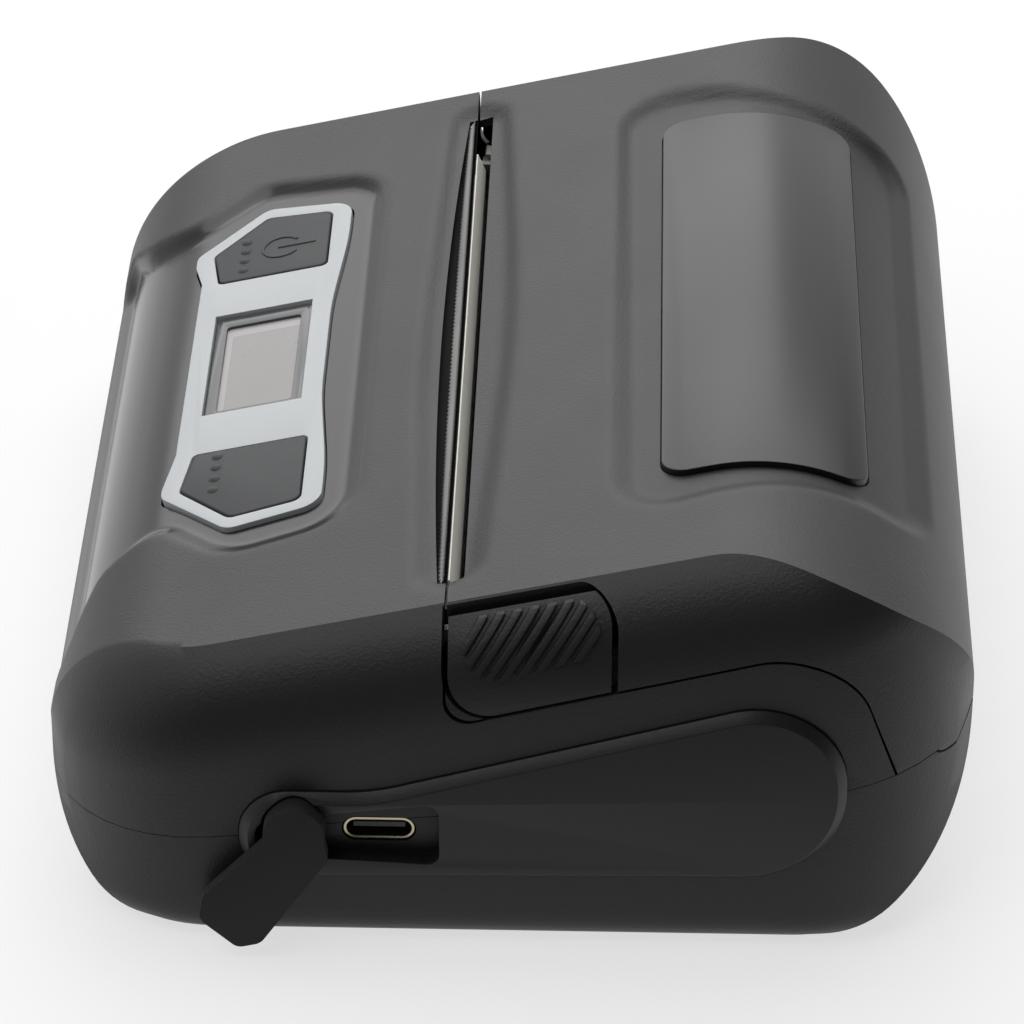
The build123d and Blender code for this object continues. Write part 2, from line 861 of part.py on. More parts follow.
def web_points():
    """Places of the paper web: where it leaves the roll, wraps the platen and ends in the slot."""
    roll_reach = roll_radius + web_clearance + web_thickness / 2
    platen_reach = platen_radius + web_clearance + web_thickness / 2
    dy = roll_y - platen_y
    dz = roll_z - platen_z
    apart = math.hypot(dy, dz)
    turn = math.atan2(dz, dy) - math.acos((roll_reach + platen_reach) / apart)
    away = (math.cos(turn), math.sin(turn))
    start = (roll_y - roll_reach * away[0], roll_z - roll_reach * away[1])
    under = (platen_y + platen_reach * away[0], platen_z + platen_reach * away[1])
    middle_angle = (turn - math.pi) / 2
    middle = (platen_y + platen_reach * math.cos(middle_angle), platen_z + platen_reach * math.sin(middle_angle))
    front = (platen_y - platen_reach, platen_z)
    bend = (front[0], web_bend_z)
    top = (front[0] - web_lean, roof_z(split_y) - web_top)
    return start, under, middle, front, bend, top


def make_paper_web():
    """Strip of paper from the roll round the platen and up through the slot."""
    start, under, middle, front, bend, top = web_points()
    path = Line(start, under) + ThreePointArc(under, middle, front) + Line(front, bend) + Line(bend, top)
    band = trace(path, web_thickness)
    return extrude(Plane.YZ.offset(paper_start_x) * band, paper_width)


def make_roll_cradle():
    """Curved tray with end walls that the paper roll lies in."""
    x0 = paper_start_x - 1.0
    x1 = paper_end_x + 1.0
    outer = cradle_inner_radius + cradle_wall
    centre_z = cradle_bottom + cradle_inner_radius
    tray = rod(outer, x0 - cradle_wall, x1 + cradle_wall, roll_y, centre_z)
    tray -= rod(cradle_inner_radius, x0, x1, roll_y, centre_z)
    keep_low = box(-body_length, body_length, -body_depth, roll_y, 0, centre_z + 2.0)
    keep_rear = box(-body_length, body_length, roll_y, body_depth, 0, centre_z - 9.0)
    return tray & (keep_low + keep_rear)


def make_mechanism_frame():
    """Folded steel frame: front sheet, two side sheets with open slots, two feet."""
    far0 = frame_far_x
    near1 = frame_near_x + frame_sheet
    front = box(far0, near1, frame_front_y, frame_front_y + frame_sheet, frame_foot_z + 1.0, 36.0)
    motor_y, motor_z = motor_place()
    near = [(frame_front_y, 18.0), (9.5, 18.0), (9.5, 36.0), (4.5, frame_top), (-8.0, frame_top), (frame_front_y, 35.0)]
    far = [
        (frame_front_y, 18.0),
        (motor_y - motor_radius, 3.2),
        (motor_y + motor_radius - 2.0, 3.2),
        (motor_y + motor_radius - 2.0, 22.0),
        (5.0, 36.0),
        (4.5, frame_top),
        (-8.0, frame_top),
        (frame_front_y, 35.0),
    ]
    frame_body = front
    frame_body += side_slab(near, [0] * 6, frame_near_x, near1)
    frame_body += side_slab(far, [0] * 8, far0, far0 + frame_sheet)
    for x, y in frame_screw_places():
        frame_body += box(x - 5.0, x + 5.0, frame_front_y, y + 2.6, frame_foot_z, frame_foot_z + frame_sheet)
        frame_body -= post(screw_radius + 0.2, x, y, 0, frame_foot_z + 2)
    frame_body -= open_slot(shaft_radius + 0.6)
    idler_y, idler_z = idler_place()
    frame_body -= rod(idler_stud_radius, far0 - 1, far0 + 3, idler_y, idler_z)
    frame_body -= rod(3.5, far0 - 1, far0 + 3, motor_y, motor_z)
    frame_body -= rod(head_pin_radius + pin_clearance, -body_length, body_length, head_pivot_y, head_pivot_z)
    frame_body -= rod(latch_rod_radius + pin_clearance, -body_length, body_length, latch_y, latch_z)
    clip = box(-frame_near_x - 1, frame_near_x + 3, -body_depth, body_depth, 0, tall)
    return frame_body & clip


def open_slot(half):
    """Space along the platen shaft's way out, as the cover swings open."""
    along = math.radians(idler_angle - 180)
    out = (math.cos(along) * 20, math.sin(along) * 20)
    side = (-math.sin(along) * half, math.cos(along) * half)
    points = [
        (platen_y + side[0], platen_z + side[1]),
        (platen_y - side[0], platen_z - side[1]),
        (platen_y - side[0] + out[0], platen_z - side[1] + out[1]),
        (platen_y + side[0] + out[0], platen_z + side[1] + out[1]),
    ]
    channel = side_slab(points, [0] * 4, -body_length, body_length)
    return channel + rod(half, -body_length, body_length, platen_y, platen_z)


def make_head_heat_sink():
    """Aluminium bar behind the print head, with an eye at each end for its pivot."""
    x0 = paper_start_x - 1.6
    x1 = paper_end_x + 0.2
    rear = head_face_y - ceramic_thickness
    bar = box(x0, x1, rear - sink_thickness, rear, head_bottom, sink_top)
    return bar - rod(head_pin_radius + pin_clearance, x0 - 1, x1 + 1, head_pivot_y, head_pivot_z)


def make_print_head():
    """Ceramic strip with the heater line that faces the platen."""
    x0 = paper_start_x - 1.0
    strip = box(x0, paper_end_x, head_face_y - ceramic_thickness, head_face_y - 0.2, 33.0, head_top)
    line = box(x0 + 1, paper_end_x - 1, head_face_y - 0.2, head_face_y - 0.05, platen_z - 0.8, platen_z + 0.8)
    return strip + line


def coil(radius, wire, length, turns):
    """Coil spring along Z, standing on the origin."""
    path = Helix(pitch=length / turns, height=length, radius=radius)
    start = Plane(origin=path @ 0, z_dir=path % 0)
    return sweep(start * Circle(wire), path=path)


def make_head_springs():
    """Three short coil springs between the frame and the heat sink."""
    low = frame_front_y + frame_sheet + 0.4
    high = head_face_y - ceramic_thickness - sink_thickness - 0.4
    spring = Rot(-90, 0, 0) * coil(1.9, 0.22, high - low, 4)
    return [Pos(x, low, 34.0) * spring for x in (-35.0, 5.0, 45.0)]


def make_hooks():
    """Two finger plates on the latch rod that lie against the platen shaft."""
    reach_y = platen_y - shaft_radius - 0.35
    points = [
        (latch_y - hook_width / 2, latch_z - 2.5),
        (latch_y + hook_width / 2, latch_z - 2.5),
        (reach_y - 0.6, platen_z - 3.0),
        (reach_y, platen_z - 0.6),
        (reach_y + 0.55, platen_z + 2.2),
        (reach_y - 3.0, platen_z + 2.0),
    ]
    hooks = []
    for x0 in (hook_far_x, hook_near_x):
        plate = side_slab(points, [1.8, 1.8, 0.8, 0, 0.4, 1.0], x0, x0 + hook_thickness)
        hooks.append(plate - rod(latch_rod_radius, x0 - 1, x0 + 3, latch_y, latch_z))
    return hooks


def make_latch_button():
    """Ribbed cover release with a leg that slides on the case's guide."""
    skin = body_form(0.25) - body_form(button_thickness)
    cap = skin & button_region(0.0, 0.0)
    leg_front = button_leg_y - button_leg_width / 2
    leg_rear = button_leg_y + button_leg_width / 2
    leg = box(button_leg_x, button_leg_x + button_leg_thickness, leg_front, leg_rear, 30.7, 41.5)
    bridge = box(button_leg_x, half_width - 1.5, leg_front, leg_rear, 39.5, 41.5)
    cap += (leg + bridge) & body_form(1.0)
    proud = (body_form(0.25 - rib_stand) - body_form(0.5)) & rib_zone()
    for index in range(rib_count):
        y = rib_middle_y + (index - (rib_count - 1) / 2) * rib_pitch
        bar = Pos(half_width - 4.0, y, rib_middle_z) * Rot(rib_tilt, 0, 0) * Box(20.0, rib_width, 16.0)
        cap += proud & bar
    return cap.solids().sort_by(SortBy.VOLUME)[-1]


def make_battery_contacts():
    """Two spring contacts at the battery's ends."""
    end = battery_length / 2 + 1.0
    spots = [(-end - 0.8, -end), (end, end + 0.8)]
    return [box(x0, x1, battery_y - 3, battery_y + 3, 6.0, 18.0) for x0, x1 in spots]


def make_platen_bracket():
    """Carrier under the cover's roof with an ear at each end for the platen's bushes."""
    ear = [
        (platen_y - bush_radius - 1.0, platen_z - bush_radius - 1.0),
        (platen_y + bush_radius + 1.0, platen_z - bush_radius - 1.0),
        (8.5, 43.0),
        (8.5, roof_z(8.5, wall + 0.05)),
        (platen_y - bush_radius + 0.6, roof_z(platen_y - bush_radius + 0.6, wall + 1.4)),
        (platen_y - bush_radius - 1.0, platen_z + 1.5),
    ]
    radii = [3.5, 3.5, 1.0, 0, 0.8, 1.5]
    bracket = side_slab(ear, radii, ear_near_x, ear_near_x + ear_thickness)
    bracket += side_slab(ear, radii, ear_far_x, ear_far_x + ear_thickness)
    bar = [
        (5.4, roof_z(5.4, wall + 0.05)),
        (8.5, roof_z(8.5, wall + 0.05)),
        (8.5, roof_z(8.5, wall + 2.6)),
        (5.4, roof_z(5.4, wall + 2.6)),
    ]
    bracket += side_slab(bar, [0] * 4, ear_far_x, ear_near_x + ear_thickness)
    bracket &= body_form(wall + 0.05)
    return bracket - rod(bush_radius, -body_length, body_length, platen_y, platen_z)


def make_platen_bushes():
    """Two plain bushes for the platen shaft."""
    bushes = []
    for x0 in (ear_far_x, ear_near_x):
        bush = rod(bush_radius, x0, x0 + ear_thickness, platen_y, platen_z)
        bushes.append(bush - rod(shaft_radius + pin_clearance, x0 - 1, x0 + 3, platen_y, platen_z))
    return bushes


def make_platen_shaft():
    """Steel shaft of the platen, through both bushes and the gear, as far as the latch fingers."""
    return rod(shaft_radius, hook_far_x, hook_near_x + hook_thickness, platen_y, platen_z)


def make_platen_roller():
    """Rubber sleeve of the platen, between the two ears."""
    x0 = ear_far_x + ear_thickness + 1.0
    x1 = ear_near_x - 0.6
    sleeve = rod(platen_radius, x0, x1, platen_y, platen_z)
    return sleeve - rod(shaft_radius, x0 - 1, x1 + 1, platen_y, platen_z)


def make_drive_motor():
    """Round stepper motor with its shaft and a boss in the frame's side sheet."""
    x0 = frame_far_x + frame_sheet
    can = rod(motor_radius, x0, x0 + motor_length, motor_y, motor_z)
    can = fillet(can.edges().filter_by(GeomType.CIRCLE), 0.8)
    boss = rod(3.4, frame_far_x, x0, motor_y, motor_z)
    return can + boss - rod(motor_shaft_radius + pin_clearance, frame_far_x - 1, x0 + 6.0, motor_y, motor_z)


def make_motor_pinion():
    """Brass pinion on the motor's shaft."""
    x1 = gear_x + gear_width
    blank = gear(pinion_teeth, gear_x, x1, motor_y, motor_z, pinion_turn(), 0.5)
    shaft = rod(motor_shaft_radius, gear_x, frame_far_x + frame_sheet + 5.5, motor_y, motor_z)
    return blank + shaft


def idler_turn():
    """Turn of the idler that puts a gap where the platen gear has a tooth."""
    return idler_angle + 180 + 180 / idler_teeth


def platen_turn():
    """Turn of the platen gear: a tooth points at the idler."""
    return idler_angle


def pinion_turn():
    """Turn of the pinion that fits its gap to the idler's nearest tooth."""
    facing = (motor_angle - idler_turn()) * idler_teeth / 360
    past = facing - math.floor(facing)
    return motor_angle + 180 + (past + 0.5) * 360 / pinion_teeth


def make_idler_stud():
    """Steel stud pressed into the frame, with a head that keeps the idler on."""
    stud = rod(idler_stud_radius, gear_x - 0.3, frame_far_x + frame_sheet, idler_y, idler_z)
    head = rod(idler_stud_radius + 1.2, gear_x - 1.0, gear_x - 0.2, idler_y, idler_z)
    return stud + head


def make_head_pivot_pin():
    """Steel rod that the print head swings on."""
    near = frame_near_x + frame_sheet
    return rod(head_pin_radius, frame_far_x, near + 0.2, head_pivot_y, head_pivot_z)


def make_head_cable():
    """Flat cable from the print head down to its socket on the main board."""
    y = head_face_y - 0.8
    socket_top = board_top + 2.2
    path = Line((y, 32.9), (y, socket_top + 4.0))
    path += ThreePointArc((y, socket_top + 4.0), (y + 0.9, socket_top + 1.8), (y + 3.0, socket_top + 0.9))
    path += Line((y + 3.0, socket_top + 0.9), (y + 4.5, socket_top + 0.9))
    band = trace(path, 0.2)
    return extrude(Plane.YZ.offset(-15.0) * band, 40.0)


def make_latch_rod():
    """Steel rod that joins the two latch fingers across the frame."""
    return rod(latch_rod_radius, hook_far_x - 0.4, hook_near_x + hook_thickness + 0.4, latch_y, latch_z)


def make_latch_spring():
    """Small coil that pulls the latch back, hung inside the frame's front sheet."""
    low = frame_front_y + frame_sheet + 0.4
    spring = Rot(-90, 0, 0) * coil(1.5, 0.2, 2.4, 3)
    return Pos(-45.0, low, latch_z + 6.0) * spring


def make_button_spring():
    """Coil spring behind the latch button's leg."""
    start = frame_near_x + frame_sheet + 0.2
    spring = Rot(0, 90, 0) * coil(1.8, 0.25, button_leg_x - button_travel - 0.2 - start, 3)
    return Pos(start, button_leg_y, 34.0) * spring


def make_main_board():
    """Circuit board in the lower shell, with clearance holes and a seat for the port."""
    board = box(board_far_x, board_near_x, board_front_y, board_rear_y, board_bottom, board_top)
    for x, y in board_screw_places():
        board -= post(screw_radius + 0.2, x, y, 0, tall)
    for x, y in frame_screw_places():
        board -= post(boss_radius + 0.6, x, y, 0, tall)
    return board


def make_board_parts():
    """Larger parts on the main board: chips, coil, capacitors and two sockets."""
    sizes = [
        (-22.0, -14.0, 9.0, 9.0, 1.2),
        (-4.0, -15.5, 6.0, 6.0, 1.2),
        (12.0, -16.0, 5.0, 6.0, 2.0),
        (24.0, -16.5, 6.0, 4.0, 3.0),
        (-18.0, 1.0, 12.0, 4.0, 3.5),
        (36.0, 1.5, 8.0, 4.0, 3.0),
        (56.0, 1.0, 5.0, 5.0, 4.5),
    ]
    chips = []
    for x, y, length, width, height in sizes:
        chips.append(box(x - length / 2, x + length / 2, y - width / 2, y + width / 2, board_top, board_top + height))
    head_y = head_face_y + 4.0
    chips.append(box(-17.0, 27.0, head_y, head_y + 4.0, board_top, board_top + 2.2 + 0.7))
    return chips


def make_battery_pack():
    """Wrapped battery pack with rounded long edges."""
    half = battery_length / 2
    pack = box(-half, half, battery_y - battery_depth / 2, battery_y + battery_depth / 2,
               battery_bottom, battery_bottom + battery_height)
    return fillet(pack.edges().filter_by(Axis.X), 5.0)


def make_battery_door():
    """Flush lid under the battery, held by two screws."""
    half = door_length / 2
    door = box(-half, half, battery_y - door_depth / 2, battery_y + door_depth / 2, 0.0, door_thickness)
    for x in (-door_screw_x, door_screw_x):
        door -= post(screw_head_radius + 0.2, x, battery_y, -1, 0.9)
        door -= post(screw_radius + 0.2, x, battery_y, -1, 5)
    return door


def make_door_screws():
    """Two short flat screws of the battery door."""
    screws = []
    for x in (-door_screw_x, door_screw_x):
        head = post(screw_head_radius, x, battery_y, 0.1, 0.85)
        screws.append(head + post(screw_radius - 0.05, x, battery_y, 0.8, 3.4))
    return screws


def make_case_screws():
    """Four long screws from below that hold the two shells together."""
    screws = []
    for x, y in case_screw_places():
        head = post(screw_head_radius, x, y, case_screw_seat - screw_head_height, case_screw_seat)
        screws.append(head + post(screw_radius - 0.05, x, y, case_screw_seat - 0.1, pillar_joint_z + 7.0))
    return screws


def make_board_screws():
    """Four screws of the main board and two of the frame."""
    screws = []
    for x, y in board_screw_places():
        head = post(screw_head_radius, x, y, board_top, board_top + screw_head_height)
        screws.append(head + post(screw_radius - 0.05, x, y, board_bottom - 4.0, board_top + 0.1))
    for x, y in frame_screw_places():
        seat = frame_foot_z + frame_sheet
        head = post(screw_head_radius, x, y, seat, seat + screw_head_height)
        screws.append(head + post(screw_radius - 0.05, x, y, frame_foot_z - 4.0, seat + 0.1))
    return screws


def make_paper_roll():
    """Full roll of paper."""
    roll = rod(roll_radius, paper_start_x, paper_end_x, roll_y, roll_z)
    return roll - rod(core_outer_radius, paper_start_x - 1, paper_end_x + 1, roll_y, roll_z)


def make_paper_core():
    """Cardboard tube in the roll."""
    core = rod(core_outer_radius, paper_start_x, paper_end_x, roll_y, roll_z)
    return core - rod(core_inner_radius, paper_start_x - 1, paper_end_x + 1, roll_y, roll_z)


def make_paper_sensor():
    """Optical sensor on the frame's near foot side, under the paper's path."""
    return box(20.0, 28.0, 6.6, 8.3, 20.0, 26.0)


def save(name, shape):
    """Write one node, as one solid or as a group of separate solids."""
    solids = []
    for item in shape if isinstance(shape, list) else [shape]:
        solids += item.solids()
    for solid in solids:
        solid.label = name
    export_step(Compound(children=solids) if len(solids) > 1 else solids[0], f"parts/{name}.step")


os.makedirs("parts", exist_ok=True)
body = body_form(0.0)
shell = body - body_form(wall)
slot = make_slot()
trough = make_trough()
seat_x = half_width - plate_seat
plate_recess = extrude(Plane.YZ.offset(seat_x) * bean_face(-0.1), body_length)
plate_recess += mirror(plate_recess, about=Plane.YZ)
port_cuts = make_port_cuts()
idler_y, idler_z = idler_place()
motor_y, motor_z = motor_place()

save("bottom_case", make_bottom_case())
save("top_case", make_top_case())
save("paper_cover", make_paper_cover())
save("cover_window", make_cover_window())
save("right_side_plate", make_side_plate(1))
save("left_side_plate", make_side_plate(-1))
save("port_flap", make_port_flap())
save("usb_socket", make_usb_socket())
save("hinge_pins", make_hinge_pins())
save("latch_button", make_latch_button())
save("panel_bezel", make_panel_bezel())
save("power_button", make_key(-1))
save("feed_button", make_key(1))
save("panel_board", make_panel_board())
save("panel_switches", make_panel_switches())
save("display_lens", make_display_lens())
save("display_module", make_display_module())
save("tear_blade", make_tear_blade())
save("paper_web", make_paper_web())
save("paper_roll", make_paper_roll())
save("paper_core", make_paper_core())
save("roll_cradle", make_roll_cradle())
save("platen_roller", make_platen_roller())
save("platen_shaft", make_platen_shaft())
save("platen_bushes", make_platen_bushes())
save("platen_bracket", make_platen_bracket())
save("platen_gear", gear(platen_teeth, gear_x, gear_x + gear_width, platen_y, platen_z, platen_turn(), shaft_radius))
save("idler_gear", gear(idler_teeth, gear_x, gear_x + gear_width, idler_y, idler_z, idler_turn(),
                        idler_stud_radius + pin_clearance))
save("idler_stud", make_idler_stud())
save("drive_motor", make_drive_motor())
save("motor_pinion", make_motor_pinion())
save("mechanism_frame", make_mechanism_frame())
save("head_heat_sink", make_head_heat_sink())
save("print_head", make_print_head())
save("head_pivot_pin", make_head_pivot_pin())
save("head_springs", make_head_springs())
save("head_cable", make_head_cable())
save("latch_rod", make_latch_rod())
save("latch_hooks", make_hooks())
save("latch_spring", make_latch_spring())
save("button_spring", make_button_spring())
save("main_board", make_main_board())
save("board_parts", make_board_parts())
save("battery_pack", make_battery_pack())
save("battery_door", make_battery_door())
save("battery_contacts", make_battery_contacts())
save("door_screws", make_door_screws())
save("case_screws", make_case_screws())
save("board_screws", make_board_screws())
save("paper_sensor", make_paper_sensor())
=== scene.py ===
# Looks of a portable receipt printer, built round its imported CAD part.
# X runs along the paper slot with the charging port at +X, Y points to the rear, Z up, all in metres.
import json
import logging
import math
from dataclasses import dataclass, field
from enum import Enum

import bmesh
import bpy
import numpy as np
from mathutils import Matrix, Vector

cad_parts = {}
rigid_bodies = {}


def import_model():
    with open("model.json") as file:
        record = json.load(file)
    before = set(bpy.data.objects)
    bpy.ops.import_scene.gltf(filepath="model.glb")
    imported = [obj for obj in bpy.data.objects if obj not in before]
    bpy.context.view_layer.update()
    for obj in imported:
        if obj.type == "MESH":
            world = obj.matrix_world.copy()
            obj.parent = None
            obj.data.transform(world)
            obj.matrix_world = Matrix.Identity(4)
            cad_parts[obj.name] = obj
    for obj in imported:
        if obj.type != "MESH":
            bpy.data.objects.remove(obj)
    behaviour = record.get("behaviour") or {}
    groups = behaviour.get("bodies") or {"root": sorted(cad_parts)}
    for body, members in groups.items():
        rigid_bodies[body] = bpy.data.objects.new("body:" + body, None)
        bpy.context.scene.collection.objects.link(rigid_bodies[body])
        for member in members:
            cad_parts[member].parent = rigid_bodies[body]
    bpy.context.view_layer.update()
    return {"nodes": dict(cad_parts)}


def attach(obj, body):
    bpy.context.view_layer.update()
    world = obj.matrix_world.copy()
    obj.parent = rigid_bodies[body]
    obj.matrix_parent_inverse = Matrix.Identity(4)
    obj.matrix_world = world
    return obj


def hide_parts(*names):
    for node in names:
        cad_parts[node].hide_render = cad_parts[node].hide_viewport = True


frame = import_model()
LOG = logging.getLogger("printer")
MM = 0.001
# Points of a CAD mesh that are closer than this are one, in millimetres
WELD = 0.002


# Shader helpers


def linear(colour: str) -> tuple[float, float, float, float]:
    """Turn an sRGB hex colour to linear red, green, blue and alpha.

    Args:
        colour: Six hex digits after a hash.

    Returns:
        The linear colour with full alpha.
    """
    channels = [int(colour[at:at + 2], 16) / 255 for at in (1, 3, 5)]
    red, green, blue = (c / 12.92 if c <= 0.04045 else ((c + 0.055) / 1.055) ** 2.4 for c in channels)
    return (red, green, blue, 1.0)


def add(tree: bpy.types.NodeTree, kind: str, values: dict | None = None, links: dict | None = None,
        **settings: object) -> bpy.types.Node:
    """Add one shader node with its settings, input values and incoming links.

    Args:
        tree: Node tree that gets the node.
        kind: Blender's type name of the node.
        values: Input name or number to its value.
        links: Input name or number to the output socket that feeds it.
        **settings: Attributes of the node itself.

    Returns:
        The new node.
    """
    node = tree.nodes.new(kind)
    for name, setting in settings.items():
        setattr(node, name, setting)
    for name, value in (values or {}).items():
        node.inputs[name].default_value = value
    for name, source in (links or {}).items():
        tree.links.new(source, node.inputs[name])
    return node


def per_metre(size_mm: float) -> float:
    """Texture scale, in cycles per metre, of a pattern with this spacing in millimetres."""
    return 1.0 / (size_mm * MM)


class Grain(Enum):
    """Kind of fine relief on a surface."""

    ERODED = "spark-eroded mould texture"
    BRUSHED = "lines of a brush or a rolling mill along X"
    CAST = "soft lumps of a moulded or cast skin"


@dataclass(frozen=True)
class Finish:
    """A surface of one real material, with its colour, gloss and fine relief.

    Colours are sRGB hex, lengths are millimetres.
    """

    name: str
    colour: str
    shade: str
    roughness: float
    roughness_spread: float = 0.06
    metallic: float = 0.0
    specular: float = 0.5
    grain: Grain = Grain.CAST
    grain_size: float = 0.5
    grain_depth: float = 0.01
    mottle_size: float = 14.0
    coat: float = 0.0
    sheen: float = 0.0
    transmission: float = 0.0

    def start(self) -> tuple[bpy.types.Material, bpy.types.NodeTree, bpy.types.Node]:
        """Make the empty material with its Principled shader.

        Returns:
            The material, its node tree and the shader node.
        """
        material = bpy.data.materials.new(self.name)
        material.use_nodes = True
        tree = material.node_tree
        tree.nodes.clear()
        shader = add(tree, "ShaderNodeBsdfPrincipled")
        add(tree, "ShaderNodeOutputMaterial", links={"Surface": shader.outputs["BSDF"]})
        shader.inputs["Metallic"].default_value = self.metallic
        shader.inputs["Specular IOR Level"].default_value = self.specular
        shader.inputs["Coat Weight"].default_value = self.coat
        shader.inputs["Sheen Weight"].default_value = self.sheen
        shader.inputs["Transmission Weight"].default_value = self.transmission
        return material, tree, shader

    def relief(self, tree: bpy.types.NodeTree, place: bpy.types.NodeSocket) -> bpy.types.NodeSocket:
        """Height of the fine relief, from 0 to 1.

        Args:
            tree: Node tree of the material.
            place: Object coordinates.

        Returns:
            The socket with the height.
        """
        scale = per_metre(self.grain_size)
        if self.grain is Grain.BRUSHED:
            stretched = add(tree, "ShaderNodeMapping", {"Scale": (0.02, 1.0, 1.0)}, {"Vector": place})
            return add(tree, "ShaderNodeTexNoise", {"Scale": scale, "Detail": 2.0},
                       {"Vector": stretched.outputs[0]}).outputs[0]
        if self.grain is Grain.ERODED:
            pits = add(tree, "ShaderNodeTexVoronoi", {"Scale": scale, "Randomness": 1.0},
                       {"Vector": place}, feature="SMOOTH_F1")
            dust = add(tree, "ShaderNodeTexNoise", {"Scale": 1.7 * scale, "Detail": 2.0}, {"Vector": place})
            return add(tree, "ShaderNodeMath", links={0: pits.outputs[0], 1: dust.outputs[0]},
                       operation="MULTIPLY").outputs[0]
        return add(tree, "ShaderNodeTexNoise", {"Scale": scale, "Detail": 3.0, "Roughness": 0.55},
                   {"Vector": place}).outputs[0]

    def build(self) -> bpy.types.Material:
        """Make the material: mottled colour, uneven gloss and fine relief.

        Returns:
            The material.
        """
        material, tree, shader = self.start()
        place = add(tree, "ShaderNodeTexCoord").outputs["Object"]
        mottle = add(tree, "ShaderNodeTexNoise", {"Scale": per_metre(self.mottle_size), "Detail": 4.0},
                     {"Vector": place}).outputs[0]
        blend = add(tree, "ShaderNodeMix", {6: linear(self.colour), 7: linear(self.shade)}, {0: mottle},
                    data_type="RGBA")
        tree.links.new(blend.outputs[2], shader.inputs["Base Color"])
        low = self.roughness - self.roughness_spread
        high = self.roughness + self.roughness_spread
        gloss = add(tree, "ShaderNodeMapRange", {"To Min": low, "To Max": high}, {"Value": mottle})
        tree.links.new(gloss.outputs[0], shader.inputs["Roughness"])
        bump = add(tree, "ShaderNodeBump", {"Strength": 1.0, "Distance": self.grain_depth * MM},
                   {"Height": self.relief(tree, place)})
        tree.links.new(bump.outputs[0], shader.inputs["Normal"])
        return material


@dataclass(frozen=True)
class PartPolished(Finish):
    """Moulded skin whose mould was polished where the vertex attribute says so."""

    polished_colour: str = "#1A1A1B"
    polished_roughness: float = 0.2
    attribute: str = "polish"

    def build(self) -> bpy.types.Material:
        """Make the material: grained, with a smooth part.

        Returns:
            The material.
        """
        material = super().build()
        tree = material.node_tree
        shader = tree.nodes["Principled BSDF"]
        mask = add(tree, "ShaderNodeAttribute", attribute_name=self.attribute).outputs["Fac"]
        grained = shader.inputs["Base Color"].links[0].from_socket
        colour = add(tree, "ShaderNodeMix", {7: linear(self.polished_colour)}, {0: mask, 6: grained},
                     data_type="RGBA")
        tree.links.new(colour.outputs[2], shader.inputs["Base Color"])
        uneven = shader.inputs["Roughness"].links[0].from_socket
        gloss = add(tree, "ShaderNodeMix", {3: self.polished_roughness}, {0: mask, 2: uneven},
                    data_type="FLOAT")
        tree.links.new(gloss.outputs[0], shader.inputs["Roughness"])
        bump = shader.inputs["Normal"].links[0].from_node
        depth = add(tree, "ShaderNodeMapRange", {"To Min": self.grain_depth * MM, "To Max": 0.0},
                    {"Value": mask})
        tree.links.new(depth.outputs[0], bump.inputs["Distance"])
        return material


@dataclass(frozen=True)
class RolledPaper(Finish):
    """Thermal paper on its roll: smooth on the round, with the edges of the turns at both ends."""

    centre: tuple[float, float] = (31.0, 26.8)
    turn: float = 0.5

    def relief(self, tree: bpy.types.NodeTree, place: bpy.types.NodeSocket) -> bpy.types.NodeSocket:
        """Rings round the roll's axis, drawn coarser than the paper so that they show."""
        moved = add(tree, "ShaderNodeVectorMath", {1: (0.0, -self.centre[0] * MM, -self.centre[1] * MM)},
                    {0: place}, operation="ADD")
        return add(tree, "ShaderNodeTexWave", {"Scale": per_metre(self.turn) / 20, "Distortion": 0.4},
                   {"Vector": moved.outputs[0]}, wave_type="RINGS", rings_direction="X").outputs[1]


@dataclass(frozen=True)
class CircuitBoard(Finish):
    """Glass-epoxy board under green solder resist, with copper tracks that show as paler lines."""

    track: str = "#2F7A4A"
    pitch: float = 1.6

    def build(self) -> bpy.types.Material:
        """Make the material: resist with a pattern of tracks.

        Returns:
            The material.
        """
        material, tree, shader = self.start()
        place = add(tree, "ShaderNodeTexCoord").outputs["Object"]
        cells = add(tree, "ShaderNodeTexBrick",
                    {"Scale": per_metre(12 * self.pitch), "Mortar Size": 0.02, "Color1": linear(self.colour),
                     "Color2": linear(self.shade), "Mortar": linear(self.track)}, {"Vector": place})
        tree.links.new(cells.outputs[0], shader.inputs["Base Color"])
        bump = add(tree, "ShaderNodeBump", {"Strength": 0.6, "Distance": self.grain_depth * MM},
                   {"Height": cells.outputs[1]})
        tree.links.new(bump.outputs[0], shader.inputs["Normal"])
        shader.inputs["Roughness"].default_value = self.roughness
        return material


